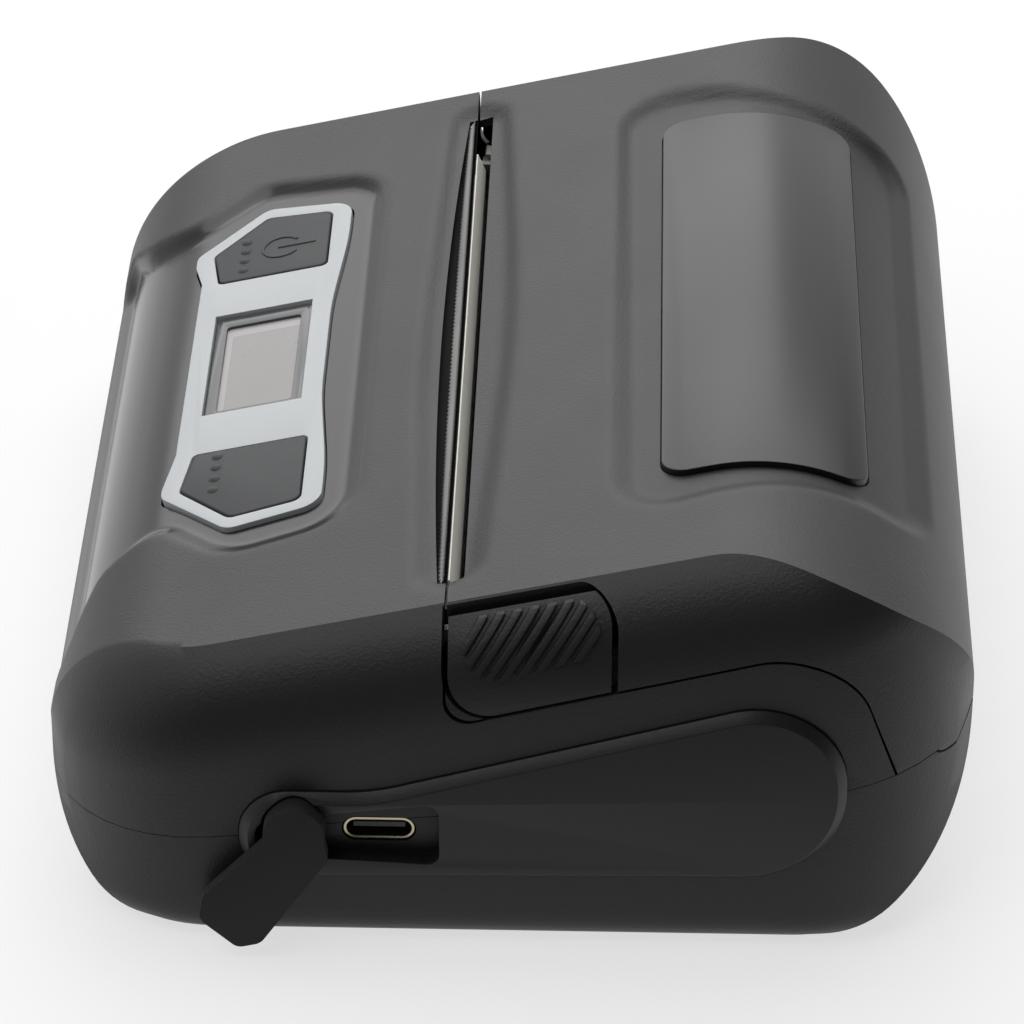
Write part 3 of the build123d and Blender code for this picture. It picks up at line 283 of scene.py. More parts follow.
def finishes() -> dict[str, Finish]:
    """Every finish of the printer, under the name of the record's material slot.

    Returns:
        Slot name to finish.
    """
    return {
        # Black ABS from a spark-eroded mould: charcoal, matt, with a fine leathery grain that is smooth
        # and glossier in the panel's valley (real grain 0.15 mm, drawn at 0.4 mm so that it shows).
        "shell": PartPolished("spark_eroded_black_abs", "#232324", "#1F1F20", 0.46, 0.03, grain=Grain.ERODED,
                              grain_size=0.4, grain_depth=0.06),
        # Black ABS from a finer mould: the end plates are a little smoother and darker.
        "plate": Finish("fine_etched_black_abs", "#1E1E1F", "#1B1B1C", 0.42, 0.03, grain=Grain.ERODED,
                        grain_size=0.3, grain_depth=0.02),
        # Smoked polycarbonate with a fine satin hard coat: nearly black under a soft, even reflection.
        "window": Finish("smoked_polycarbonate", "#1E1F21", "#1A1B1D", 0.3, 0.02, grain_size=6.0,
                         grain_depth=0.004, transmission=0.15),
        # Light grey ABS, satin: cool pale grey, faint moulding skin.
        "bezel": Finish("satin_grey_abs", "#C3C7C9", "#BCC0C2", 0.42, 0.03, grain_size=0.4,
                        grain_depth=0.006),
        # Grey silicone keys, matt, with a mould grain of about 0.3 mm.
        "key": Finish("grey_silicone_rubber", "#414244", "#3C3D3F", 0.62, 0.04, grain=Grain.ERODED,
                      grain_size=0.3, grain_depth=0.03),
        # Reflective liquid-crystal glass, switched off: pinkish grey.
        "screen": Finish("lcd_glass", "#9C9798", "#93908F", 0.28, 0.03, grain_size=0.3, grain_depth=0.001),
        # Nitrile rubber, ground: dead black with a fine nap.
        "rubber": Finish("ground_nitrile_rubber", "#171718", "#131314", 0.7, 0.05, grain=Grain.ERODED,
                         grain_size=0.3, grain_depth=0.02, sheen=0.05),
        # Platen rubber, ground to size: matt black, fine lines round it.
        "roller": Finish("ground_platen_rubber", "#222223", "#1B1B1C", 0.65, 0.05, grain=Grain.BRUSHED,
                         grain_size=0.15, grain_depth=0.006),
        # Thin gold over nickel on drawn steel.
        "port": Finish("gold_flashed_nickel", "#D9CDB0", "#CBBE9F", 0.25, 0.05, 1.0, grain=Grain.BRUSHED,
                       grain_size=0.2, grain_depth=0.002),
        # Ground and nickel-plated steel rods.
        "steel": Finish("ground_steel_rod", "#B9BBBE", "#A9ABAE", 0.24, 0.06, 1.0, grain=Grain.BRUSHED,
                        grain_size=0.2, grain_depth=0.003),
        # Zinc-plated sheet steel, folded: soft grey lustre.
        "sheet": Finish("zinc_plated_sheet", "#B4B6B6", "#9EA0A1", 0.34, 0.08, 1.0, grain=Grain.BRUSHED,
                        grain_size=0.3, grain_depth=0.004),
        # Dark sheet steel, coloured dead black with hardly any gloss. The black is partly the steel's own
        # dark finish and partly painted shade, standing in for the shadow deep in the paper slot. The latch
        # hooks share it.
        "black_sheet": Finish("dark_steel_painted_shade", "#101011", "#0C0C0D", 0.7, 0.06, specular=0.1,
                              grain=Grain.BRUSHED, grain_size=0.3, grain_depth=0.004),
        # Ground saw teeth of the tear blade: bare bright steel.
        "teeth": Finish("ground_saw_teeth", "#D9DAD8", "#B4B4B0", 0.3, 0.08, 1.0, grain=Grain.BRUSHED,
                        grain_size=0.2, grain_depth=0.004),
        # Drawn spring wire.
        "spring": Finish("drawn_spring_wire", "#A8AAAD", "#96989B", 0.3, 0.06, 1.0, grain_size=0.3,
                         grain_depth=0.003),
        # Cut brass: yellow, bright tooth faces.
        "brass": Finish("cut_brass", "#C9A75C", "#B8954C", 0.3, 0.06, 1.0, grain=Grain.BRUSHED,
                        grain_size=0.2, grain_depth=0.004),
        # Extruded aluminium, left bare: pale with lines along its length.
        "heat_sink": Finish("extruded_aluminium", "#C9CBCC", "#B9BBBD", 0.36, 0.07, 1.0, grain=Grain.BRUSHED,
                            grain_size=0.25, grain_depth=0.006),
        # Glazed alumina strip of the print head.
        "ceramic": Finish("glazed_alumina", "#D8D2C4", "#CFC8B9", 0.2, 0.05, grain_size=0.5,
                          grain_depth=0.002),
        # Acetal gears: milky, waxy.
        "gear": Finish("moulded_acetal", "#E4E2DA", "#DAD8CF", 0.38, 0.05, grain_size=0.8, grain_depth=0.005,
                       sheen=0.05),
        # Oil-filled acetal bushes, dark grey.
        "bush": Finish("oiled_acetal", "#4B4C4E", "#434446", 0.35, 0.05, grain_size=0.8, grain_depth=0.005),
        # Glass-filled ABS of the inner mouldings: plain black with a soft flow pattern.
        "inner": Finish("glass_filled_black_abs", "#2B2B2C", "#232324", 0.5, 0.07, grain_size=0.7,
                        grain_depth=0.012),
        # Zinc-plated motor can.
        "motor": Finish("drawn_motor_can", "#9FA2A5", "#8B8E91", 0.32, 0.07, 1.0, grain=Grain.BRUSHED,
                        grain_size=0.4, grain_depth=0.004),
        # Printed circuit board: green resist, with the copper tracks as paler lines.
        "circuit": CircuitBoard("green_solder_resist", "#1F5B36", "#1B5231", 0.3, grain_depth=0.03),
        # Polyimide flat cable: amber film.
        "cable": Finish("polyimide_flat_cable", "#B06A2A", "#9E5C22", 0.3, 0.05, grain=Grain.BRUSHED,
                        grain_size=0.8, grain_depth=0.004),
        # Shrink-wrapped PVC sleeve over the cells: grey-blue, glossy with soft wrinkles.
        "battery": Finish("shrunk_pvc_sleeve", "#3E5161", "#374857", 0.3, 0.06, grain_size=3.0,
                          grain_depth=0.06),
        # Black ink printed behind the display's lens: dark grey under a clear gloss.
        "printed_border": Finish("printed_lens_border", "#4A4B4E", "#464749", 0.22, 0.03, coat=0.3,
                                 grain_size=4.0, grain_depth=0.002),
        # White foil round the liquid-crystal cell, seen through its glass: a paler rim.
        "cell_rim": Finish("lcd_reflector_foil", "#AFACAD", "#A6A3A4", 0.3, 0.03, grain_size=0.3,
                           grain_depth=0.001),
        # Grey glass-filled nylon tongue of the port, moulded, waxy.
        "tongue": Finish("moulded_grey_nylon", "#6F7078", "#66676E", 0.4, 0.05, grain_size=0.4,
                         grain_depth=0.004),
        # Coated thermal paper: warm white, with the edges of the turns on the roll's ends.
        "paper": RolledPaper("thermal_paper", "#F1EEE6", "#EAE6DC", 0.55, 0.04, grain_depth=0.02),
        # Grey-brown chipboard of the core.
        "card": Finish("wound_chipboard", "#9B8468", "#8C7558", 0.8, 0.06, grain_size=0.6, grain_depth=0.03),
    }


@dataclass
class Paintbox:
    """Builds each finish once and gives it to pieces."""

    made: dict[str, bpy.types.Material] = field(default_factory=dict)
    finishes: dict[str, Finish] = field(default_factory=finishes)

    def material(self, slot: str) -> bpy.types.Material:
        """The material of a slot, built the first time it is asked for."""
        if slot not in self.made:
            self.made[slot] = self.finishes[slot].build()
        return self.made[slot]

    def dress_node(self, node: str, slot: str) -> None:
        """Give a CAD node the finish of its slot.

        Args:
            node: Name of the CAD node.
            slot: Name of the record's material slot.
        """
        piece = frame["nodes"][node]
        if not piece.data.materials:
            piece.data.materials.append(self.material(slot))
        for index in range(len(piece.data.materials)):
            piece.data.materials[index] = self.material(slot)
        LOG.info("dressed %s as %s", node, slot)

    def dress_piece(self, piece: bpy.types.Object, slot: str, body: str, *nodes: str,
                    finishes: tuple[str, ...] = ()) -> bpy.types.Object:
        """Give a new piece its finish and its body, and let it stand for CAD nodes.

        Args:
            piece: The new piece.
            slot: Name of the record's material slot.
            body: CAD body that it rides on.
            *nodes: CAD nodes that it replaces.
            finishes: Finishes in the order of its faces' numbers, where it isn't the slot's finish alone.

        Returns:
            The same piece.
        """
        for finish in finishes or (slot,):
            piece.data.materials.append(self.material(finish))
        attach(piece, body)
        if nodes:
            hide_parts(*nodes)
        LOG.info("built %s with %d faces", piece.name, len(piece.data.polygons))
        return piece


# Mesh helpers


def new_piece(name: str, form: bmesh.types.BMesh, smooth_angle: float = 35.0) -> bpy.types.Object:
    """Turn a bmesh into a piece of the scene, with smooth faces and sharp edges over an angle.

    Args:
        name: Name of the piece.
        form: Its shape; freed here.
        smooth_angle: Edges that bend by more, in degrees, stay sharp.

    Returns:
        The new object.
    """
    limit = math.radians(smooth_angle)
    for face in form.faces:
        face.smooth = True
    for edge in form.edges:
        edge.smooth = len(edge.link_faces) != 2 or edge.calc_face_angle(0.0) < limit
    mesh = bpy.data.meshes.new(name)
    form.to_mesh(mesh)
    form.free()
    piece = bpy.data.objects.new(name, mesh)
    bpy.context.scene.collection.objects.link(piece)
    return piece


def cad_form(node: str, tidy_angle: float = 0.3) -> bmesh.types.BMesh:
    """Copy of a CAD node's mesh, joined up, with its flat faces in one piece.

    Args:
        node: Name of the CAD node.
        tidy_angle: Faces that bend by less, in degrees, become one.

    Returns:
        The copy as a bmesh.
    """
    form = bmesh.new()
    form.from_mesh(frame["nodes"][node].data)
    bmesh.ops.remove_doubles(form, verts=form.verts, dist=WELD * MM)
    bmesh.ops.dissolve_limit(form, angle_limit=math.radians(tidy_angle), verts=form.verts, edges=form.edges)
    return form


def add_form(form: bmesh.types.BMesh, other: bmesh.types.BMesh) -> None:
    """Add a second closed form to a form.

    Args:
        form: The form that grows.
        other: The form that is added; freed here.
    """
    mesh = bpy.data.meshes.new("added")
    other.to_mesh(mesh)
    other.free()
    form.from_mesh(mesh)
    bpy.data.meshes.remove(mesh)


def round_edges(form: bmesh.types.BMesh, radius: float, segments: int = 3, over_angle: float = 40.0) -> None:
    """Round the sharp edges of a form, as a mould leaves them.

    Args:
        form: The shape to change.
        radius: Width of the rounding in millimetres.
        segments: Faces across it.
        over_angle: Edges that bend by more, in degrees, are rounded.
    """
    limit = math.radians(over_angle)
    sharp = [e for e in form.edges if len(e.link_faces) == 2 and e.calc_face_angle(0.0) > limit]
    bmesh.ops.bevel(form, geom=sharp, offset=radius * MM, segments=segments, affect="EDGES", profile=0.5,
                    clamp_overlap=True)


def rounded_copy(name: str, node: str, radius: float, segments: int = 3) -> bpy.types.Object:
    """Piece with a CAD node's form and rounded edges.

    Args:
        name: Name of the piece.
        node: CAD node to copy.
        radius: Rounding in millimetres.
        segments: Faces across the rounding.

    Returns:
        The new object.
    """
    form = cad_form(node)
    round_edges(form, radius, segments)
    return new_piece(name, form)


# Flat outlines


def rounded_outline(points: list[tuple[float, float]], radii: list[float], step: float = 0.6
                    ) -> list[tuple[float, float]]:
    """Close a flat outline with an arc at each corner that has a radius.

    Args:
        points: Corners, in order.
        radii: Radius at each corner, or 0 for a sharp one.
        step: Longest chord along an arc.

    Returns:
        The points of the rounded outline.
    """
    count = len(points)
    result = []
    for index, radius in enumerate(radii):
        corner = Vector(points[index])
        if not radius:
            result.append(tuple(corner))
            continue
        back = (Vector(points[index - 1]) - corner).normalized()
        ahead = (Vector(points[(index + 1) % count]) - corner).normalized()
        half = back.angle(ahead) / 2
        reach = radius / math.tan(half)
        centre = corner + (back + ahead).normalized() * (radius / math.sin(half))
        first = corner + back * reach - centre
        sweep = math.pi - 2 * half
        if back.cross(ahead) > 0:
            sweep = -sweep
        chords = max(2, math.ceil(abs(sweep) * radius / step))
        for chord in range(chords + 1):
            at = sweep * chord / chords
            turned = Vector((first.x * math.cos(at) - first.y * math.sin(at),
                             first.x * math.sin(at) + first.y * math.cos(at)))
            result.append(tuple(centre + turned))
    return result


def depth_inside(places: np.ndarray, outline: np.ndarray) -> np.ndarray:
    """Distance from each place to an outline, positive inside it.

    Args:
        places: One row for each place.
        outline: Points of the closed outline.

    Returns:
        The signed distances.
    """
    nearest = np.full(len(places), np.inf)
    crossings = np.zeros(len(places), bool)
    for start, end in zip(outline, np.roll(outline, -1, 0)):
        run = end - start
        share = np.clip((places - start) @ run / max(run @ run, 1e-12), 0, 1)
        gap = places - (start + share[:, None] * run)
        nearest = np.minimum(nearest, np.hypot(gap[:, 0], gap[:, 1]))
        spans = (start[1] > places[:, 1]) != (end[1] > places[:, 1])
        if start[1] != end[1]:
            at = start[0] + (places[:, 1] - start[1]) * run[0] / (end[1] - start[1])
            crossings ^= spans & (places[:, 0] < at)
    return np.where(crossings, nearest, -nearest)


def eased(share: np.ndarray, rounding: float = 0.22) -> np.ndarray:
    """Straight ramp from 0 to 1 whose two ends are rounded off.

    Args:
        share: Place along the ramp, cut off at 0 and 1.
        rounding: Part of the ramp that each rounded end takes.

    Returns:
        The height of the ramp.
    """
    t = np.clip(share, 0, 1)
    bend = 2 * rounding * (1 - rounding)
    middle = (t - rounding / 2) / (1 - rounding)
    return np.where(t < rounding, t * t / bend, np.where(t > 1 - rounding, 1 - (1 - t) ** 2 / bend, middle))


@dataclass(frozen=True)
class SoftHollow:
    """Shallow hollow in the body's skin with sloping flanks, in millimetres.

    Outline corners are X, the distance along the skin from the split line to the rear, and a radius.
    The flank is narrower at the far end, at -X, than at the near end; outside is the part of it that
    lies outside the outline.
    """

    outline: tuple[tuple[float, float, float], ...]
    depth: float
    flank_far: float
    flank_near: float
    outside: float = 0.0
    rounding: float = 0.2
    flank_reach: float = 52.0
    nose_depth: float = 0.0
    nose_from: float = -36.0
    nose_to: float = -48.0

    def share(self, places: np.ndarray) -> np.ndarray:
        """How far each place is down the flank, from 0 outside to 1 on the hollow's floor."""
        corners = [corner[:2] for corner in self.outline]
        drawn = np.array(rounded_outline(corners, [corner[2] for corner in self.outline], step=1.0))
        ends = (-self.flank_reach, self.flank_reach)
        flank = np.interp(places[:, 0], ends, (self.flank_far, self.flank_near))
        return eased(depth_inside(places, drawn) / flank + self.outside, self.rounding)

    def sink(self, places: np.ndarray) -> np.ndarray:
        """Depth of the hollow at each place; it may be deeper on the nose."""
        deeper = eased((self.nose_from - places[:, 1]) / (self.nose_from - self.nose_to))
        floor = self.depth + max(0.0, self.nose_depth - self.depth) * deeper
        return floor * self.share(places)


# Body


@dataclass(frozen=True)
class BodyForm:
    """Driving sizes of the printer's body, in millimetres, the same as in the CAD source."""

    length: float = 154.0
    depth: float = 119.0
    roof_height: float = 47.3
    roof_slope: float = 13.0
    split_y: float = -7.7
    wall: float = 2.2
    plate_stand: float = 1.5
    plate_seat: float = 0.8
    front_floor_radius: float = 18.5
    front_roof_radius: float = 19.5
    rear_floor_radius: float = 25.0
    rear_roof_radius: float = 28.0
    corner_radius: float = 22.5
    corner_margin: float = 0.1
    shoulder_radius: float = 15.0
    shoulder_angle: float = 27.0
    floor_edge_radius: float = 5.0
    parting_height: float = 20.35
    parting_slope: float = 5.8
    parting_gap: float = 0.1
    seam: float = 0.35
    hinge_y: float = 57.0
    hinge_z: float = 27.8
    cover_edge_slope: float = 0.262
    cover_shoulder: tuple[float, float] = (41.9, 47.1)

    @property
    def half_width(self) -> float:
        """Half of the shells' length along X, without the end plates."""
        return self.length / 2 - self.plate_stand

    @property
    def half_depth(self) -> float:
        """Half of the body's depth along Y."""
        return self.depth / 2

    @property
    def tall(self) -> float:
        """A length that clears the whole body."""
        return 2 * self.depth

    def roof_z(self, y: float, depth: float = 0.0) -> float:
        """Height of the flat roof at y, or of a surface that lies depth under it."""
        slope = math.radians(self.roof_slope)
        return self.roof_height + (y - self.split_y) * math.tan(slope) - depth / math.cos(slope)

    def along_roof(self, y: np.ndarray, z: np.ndarray) -> np.ndarray:
        """Distance along the skin from the split line to the rear, on the roof and the front curve.

        Args:
            y: Places along Y.
            z: Heights.

        Returns:
            The distances; to the front they are negative.
        """
        slope = math.radians(self.roof_slope)
        centre_y = self.front_roof_radius - self.half_depth
        tangent_y = centre_y - self.front_roof_radius * math.sin(slope)
        centre_z = self.roof_z(centre_y, self.front_roof_radius)
        turn = np.arctan2(centre_y - y, z - centre_z) - slope
        flat = (y - self.split_y) / math.cos(slope)
        curved = (tangent_y - self.split_y) / math.cos(slope) - self.front_roof_radius * turn
        return np.where(y > tangent_y, flat, curved)

    def cover_edge_z(self, y: float) -> float:
        """Height of the cover's lower edge on its sides."""
        shoulder_y, shoulder_z = self.cover_shoulder
        return shoulder_z - self.cover_edge_slope * (shoulder_y - y)

    def parting_z(self, y: float) -> float:
        """Height of the seam between the lower and the upper shell."""
        return self.parting_height + y * math.tan(math.radians(self.parting_slope))

    def profile(self, inset: float, step: float) -> np.ndarray:
        """Side view of the body, drawn in by inset.

        Args:
            inset: Distance inwards.
            step: Longest distance between two points.

        Returns:
            Rows of Y and Z, from the front of the floor to the rear and back over the roof.
        """
        front, rear = inset - self.half_depth, self.half_depth - inset
        corners = [(front, inset), (rear, inset), (rear, self.roof_z(rear, inset)),
                   (front, self.roof_z(front, inset))]
        radii = [self.front_floor_radius, self.rear_floor_radius, self.rear_roof_radius,
                 self.front_roof_radius]
        rounded = rounded_outline(corners, [radius - inset for radius in radii], step)
        slack = 0.01
        points = []
        for start, end in zip(rounded, rounded[1:] + rounded[:1]):
            parts = max(1, math.ceil(math.dist(start, end) / step - slack))
            for part in range(parts):
                points.append(np.array(start) + (np.array(end) - np.array(start)) * part / parts)
        return np.array(points)

    def reach(self, y: np.ndarray, z: np.ndarray, inset: float) -> np.ndarray:
        """Half of the body's length along X at each Y and Z, drawn in by inset.

        Args:
            y: Places along Y.
            z: Heights.
            inset: Distance inwards.

        Returns:
            The distance from the middle to either end.
        """
        slope = math.radians(self.roof_slope)
        crown = self.shoulder_radius * (1 - math.cos(math.radians(self.shoulder_angle)))
        roof = self.roof_height + (y - self.split_y) * math.tan(slope)
        under = crown - inset + (roof - z) * math.cos(slope)
        shoulder, edge = self.shoulder_radius - inset, self.floor_edge_radius - inset
        top = np.clip(shoulder - under, 0, shoulder)
        low = np.clip(edge - (z - inset), 0, edge)
        drawn = np.maximum(shoulder - np.sqrt(shoulder ** 2 - top ** 2), edge - np.sqrt(edge ** 2 - low ** 2))
        straight = self.half_width - inset - drawn
        centre_x = self.half_width - self.corner_radius
        centre_y = self.half_depth + self.corner_margin - self.corner_radius
        past = np.clip(np.abs(y) - centre_y, 0, None)
        corner = np.clip(self.corner_radius - inset - drawn, 0, None)
        bend = centre_x + np.sqrt(np.clip(corner ** 2 - past ** 2, 0, None))
        return np.where(past > 0, np.minimum(bend, straight), straight)


BODY = BodyForm()


def valley_hollow() -> SoftHollow:
    """Valley of the control panel: it necks in beside the bezel's front and flares out down the nose."""
    far = [(-51.0, -61.5, 3.0), (-50.0, -56.5, 3.0), (-44.6, -51.0, 5.0), (-41.0, -42.0, 7.0),
           (-50.6, -31.8, 5.0), (-47.6, -13.9, 6.5)]
    near = [(42.6, -13.9, 8.5), (45.9, -30.2, 7.0), (36.2, -39.6, 5.5), (40.2, -50.0, 6.0),
            (50.5, -56.0, 3.0), (51.5, -61.5, 3.0)]
    return SoftHollow(tuple(far + near), depth=1.2, flank_far=3.0, flank_near=4.4, outside=0.5,
                      nose_depth=1.9)


def trough_hollow() -> SoftHollow:
    """Long lens round the paper slot."""
    front = [(-63.9, -0.2, 2.0), (-61.6, -4.5, 3.0), (8.0, -6.9, 500.0), (62.0, -4.7, 3.0), (64.2, 0.2, 2.0)]
    rear = [(61.0, 5.0, 3.0), (0.0, 8.1, 500.0), (-61.0, 5.0, 3.0)]
    return SoftHollow(tuple(front + rear), depth=1.1, flank_far=2.4, flank_near=3.6, outside=0.1)


def window_hollow() -> SoftHollow:
    """Recess round the cover's window: it narrows a little to the rear and runs over the rear curve."""
    far = [(-48.0, 66.5, 9.0), (-55.8, 36.0, 60.0), (-57.9, 20.1, 9.0)]
    near = [(55.6, 20.1, 9.0), (52.6, 42.0, 40.0), (51.4, 66.5, 9.0)]
    return SoftHollow(tuple(far + near), depth=1.3, flank_far=2.8, flank_near=4.2)


@dataclass
class BodyMesh:
    """Closed mesh of the whole body, or of the body drawn in, in millimetres.

    A tube follows the side profile along X, and rings close it over both ends.
    """

    inset: float = 0.0
    step: float = 0.75
    line_step: float = 0.9
    core_half: float = 54.0
    outer_lines: int = 9
    centre_z: float = 24.0
    rings: tuple[float, ...] = (0.96, 0.92, 0.875, 0.825, 0.77, 0.71, 0.64, 0.56, 0.46, 0.34, 0.18)
    hollows: tuple[SoftHollow, ...] = ()
    keep_low_y: float = -1000.0
    keep_high_y: float = 1000.0
    keep_high_z: float = 1000.0
    near_split: float = 3.0
    thinning: int = 5

    def side_points(self) -> np.ndarray:
        """Profile points: all of them where this mesh is needed, and every few elsewhere."""
        points = BODY.profile(self.inset, self.step)
        wanted = (points[:, 0] > self.keep_low_y) & (points[:, 0] < self.keep_high_y)
        wanted &= points[:, 1] < self.keep_high_z
        wanted |= np.arange(len(points)) % self.thinning == 0
        return points[wanted]

    def lines(self) -> np.ndarray:
        """Places of the tube's lines: up to 1 across the straight core, and from 1 to 2 beyond it."""
        core = np.linspace(-1, 1, 2 * max(2, round(self.core_half / self.line_step)) + 1)
        outer = 1 + np.arange(1, self.outer_lines + 1) / self.outer_lines
        return np.concatenate([-outer[::-1], core, outer])

    def build(self) -> bmesh.types.BMesh:
        """Build the mesh.

        Returns:
            The closed form, in millimetres.
        """
        side = self.side_points()
        lines = self.lines()
        reach = BODY.reach(side[:, 0], side[:, 1], self.inset)
        ahead = np.roll(side, -1, 0) - np.roll(side, 1, 0)
        ahead /= np.linalg.norm(ahead, axis=1)[:, None]
        inward = np.stack([-ahead[:, 1], ahead[:, 0]], axis=1)
        core = np.clip(lines, -1, 1)[None, :] * self.core_half
        beyond = (np.sign(lines) * np.clip(np.abs(lines) - 1, 0, 1))[None, :]
        x = core + beyond * (reach[:, None] - self.core_half)
        sunk = self.sink(x, side)
        y = side[:, 0][:, None] + sunk * inward[:, 0][:, None]
        z = side[:, 1][:, None] + sunk * inward[:, 1][:, None]
        return self.weave(np.stack([x, y, z], axis=2), side)

    def sink(self, x: np.ndarray, side: np.ndarray) -> np.ndarray:
        """Depth of all hollows at each point of the tube.

        Args:
            x: Place along X, one row for each profile point.
            side: The profile points.

        Returns:
            Depths, as a grid like x.
        """
        chord = np.linalg.norm(np.roll(side, -1, 0) - side, axis=1)
        run = np.concatenate([[0], np.cumsum(chord[:-1])])
        beside = np.abs(side[:, 0] - BODY.split_y) < self.near_split
        roof = np.flatnonzero(beside & (side[:, 1] > BODY.roof_height / 2))
        nearest = roof[np.argmin(np.abs(side[roof, 0] - BODY.split_y))]
        at_split = run[nearest] + (side[nearest, 0] - BODY.split_y) / math.cos(math.radians(BODY.roof_slope))
        along = at_split - run
        places = np.stack([x, np.broadcast_to(along[:, None], x.shape)], axis=2).reshape(-1, 2)
        depth = np.zeros(len(places))
        for hollow in self.hollows:
            depth = np.maximum(depth, hollow.sink(places))
        return depth.reshape(x.shape)

    def weave(self, grid: np.ndarray, side: np.ndarray) -> bmesh.types.BMesh:
        """Join the tube's grid and the rings of both ends.

        Args:
            grid: Points of the tube, by profile point and line.
            side: The profile points.

        Returns:
            The closed form.
        """
        rows, columns = grid.shape[:2]
        points = [grid.reshape(-1, 3)]
        faces = []
        for row in range(rows):
            after = (row + 1) % rows
            for column in range(columns - 1):
                faces.append((row * columns + column, row * columns + column + 1,
                              after * columns + column + 1, after * columns + column))
        middle = np.array([0.0, self.centre_z])
        for sign, edge in ((-1, 0), (1, columns - 1)):
            ring = np.array([row * columns + edge for row in range(rows)])
            for share in self.rings:
                at = middle + (side - middle) * share
                start = sum(len(block) for block in points)
                reach = BODY.reach(at[:, 0], at[:, 1], self.inset)
                points.append(np.stack([sign * reach, at[:, 0], at[:, 1]], axis=1))
                inner = start + np.arange(rows)
                for row in range(rows):
                    after = (row + 1) % rows
                    quad = (ring[row], ring[after], inner[after], inner[row])
                    faces.append(quad if sign > 0 else quad[::-1])
                ring = inner
            hub = sum(len(block) for block in points)
            points.append(np.array([[sign * (BODY.half_width - self.inset), *middle]]))
            for row in range(rows):
                fan = (ring[row], ring[(row + 1) % rows], hub)
                faces.append(fan if sign > 0 else fan[::-1])
        mesh = bpy.data.meshes.new("body_draft")
        mesh.from_pydata(np.concatenate(points).tolist(), [], [tuple(int(i) for i in face) for face in faces])
        form = bmesh.new()
        form.from_mesh(mesh)
        bpy.data.meshes.remove(mesh)
        bmesh.ops.recalc_face_normals(form, faces=form.faces)
        return form


# Solids that cut the shells


def prism(outline: list[tuple[float, float]], low: float, high: float, frame_of: Matrix) -> bmesh.types.BMesh:
    """Straight prism over a flat outline.

    Args:
        outline: Points in the prism's own plane.
        low: Start along the plane's normal.
        high: End along the plane's normal.
        frame_of: Places the plane: its X and Y axes hold the outline.

    Returns:
        The prism, in millimetres.
    """
    form = bmesh.new()
    floor = [form.verts.new(frame_of @ Vector((a, b, low))) for a, b in outline]
    lid = [form.verts.new(frame_of @ Vector((a, b, high))) for a, b in outline]
    form.faces.new(floor)
    form.faces.new(lid)
    count = len(outline)
    for index in range(count):
        after = (index + 1) % count
        form.faces.new((floor[index], floor[after], lid[after], lid[index]))
    bmesh.ops.recalc_face_normals(form, faces=form.faces)
    return form


# How far a cutting form starts before the surface that it opens, in millimetres
PAST = 1.0
# Y and Z of the outline, run along X
ALONG_X = Matrix(((0, 0, 1, 0), (1, 0, 0, 0), (0, 1, 0, 0), (0, 0, 0, 1)))
# X and Y of the outline, run along Z
UPRIGHT = Matrix.Identity(4)


def roof_frame(x: float, y: float) -> Matrix:
    """Plane of the roof with its origin over a place seen from above; its normal points up."""
    slope = math.radians(BODY.roof_slope)
    return Matrix(((1, 0, 0, x), (0, math.cos(slope), -math.sin(slope), y),
                   (0, math.sin(slope), math.cos(slope), BODY.roof_z(y)), (0, 0, 0, 1)))


def circle(y: float, z: float, radius: float, chords: int = 40) -> list[tuple[float, float]]:
    """Points round a circle."""
    turns = [2 * math.pi * index / chords for index in range(chords)]
    return [(y + radius * math.cos(turn), z + radius * math.sin(turn)) for turn in turns]


def rectangle(a0: float, a1: float, b0: float, b1: float) -> list[tuple[float, float]]:
    """Corners of a rectangle, in order."""
    return [(a0, b0), (a1, b0), (a1, b1), (a0, b1)]


@dataclass(frozen=True)
class ButtonPlace:
    """Place of the latch button on the right shoulder, in millimetres."""

    front_y: float = -7.3
    rear_y: float = 13.1
    inner_x: float = 68.8
    top_drop: float = 0.6
    gap: float = 0.8
    inner_gap: float = 1.15
    front_radius: float = 5.0
    rear_radius: float = 3.4

    def opening(self) -> bmesh.types.BMesh:
        """Space round the button, with the gap at its rim and its inner edge."""
        front, rear, rise = self.front_y - self.gap, self.rear_y + self.gap, self.gap / 2 - self.top_drop
        points = [(front, BODY.roof_z(front) + rise), (front, BODY.cover_edge_z(front) - BODY.seam),
                  (rear, BODY.cover_edge_z(rear) - BODY.seam), (rear, BODY.roof_z(rear) + rise)]
        outline = rounded_outline(points, [0, self.front_radius + self.gap, 0, self.rear_radius + self.gap])
        return prism(outline, self.inner_x - self.inner_gap, BODY.length, ALONG_X)


@dataclass(frozen=True)
class EndPlatePlace:
    """Outline of the bean-shaped end plates, in millimetres."""

    front_y: float = -33.8
    rear_y: float = 42.8
    bottom: float = 10.7
    top_front: float = 24.0
    bend_y: float = -17.0
    slope: float = 16.1
    rear_rise: float = 1.2
    end_radius: float = 6.4
    rear_low_radius: float = 13.0
    rear_top_radius: float = 11.5
    bend_radius: float = 24.0
    gap: float = 0.1

    def outline(self, shrink: float) -> list[tuple[float, float]]:
        """Y and Z points of the bean, drawn in by shrink."""
        front, rear = self.front_y + shrink, self.rear_y - shrink
        low, top = self.bottom + shrink, self.top_front - shrink
        rear_top = top + (rear - self.bend_y) * math.tan(math.radians(self.slope))
        points = [(front, low), (rear, low + self.rear_rise), (rear, rear_top), (self.bend_y, top),
                  (front, top)]
        end = self.end_radius - shrink
        rear_low, rear_high = self.rear_low_radius - shrink, self.rear_top_radius - shrink
        return rounded_outline(points, [end, rear_low, rear_high, self.bend_radius + shrink, end])

    def recess(self, side: int) -> bmesh.types.BMesh:
        """Space of the plate in the shells' end wall."""
        inner = BODY.half_width - BODY.plate_seat
        ends = (inner, BODY.length) if side > 0 else (-BODY.length, -inner)
        return prism(self.outline(-self.gap), *ends, ALONG_X)


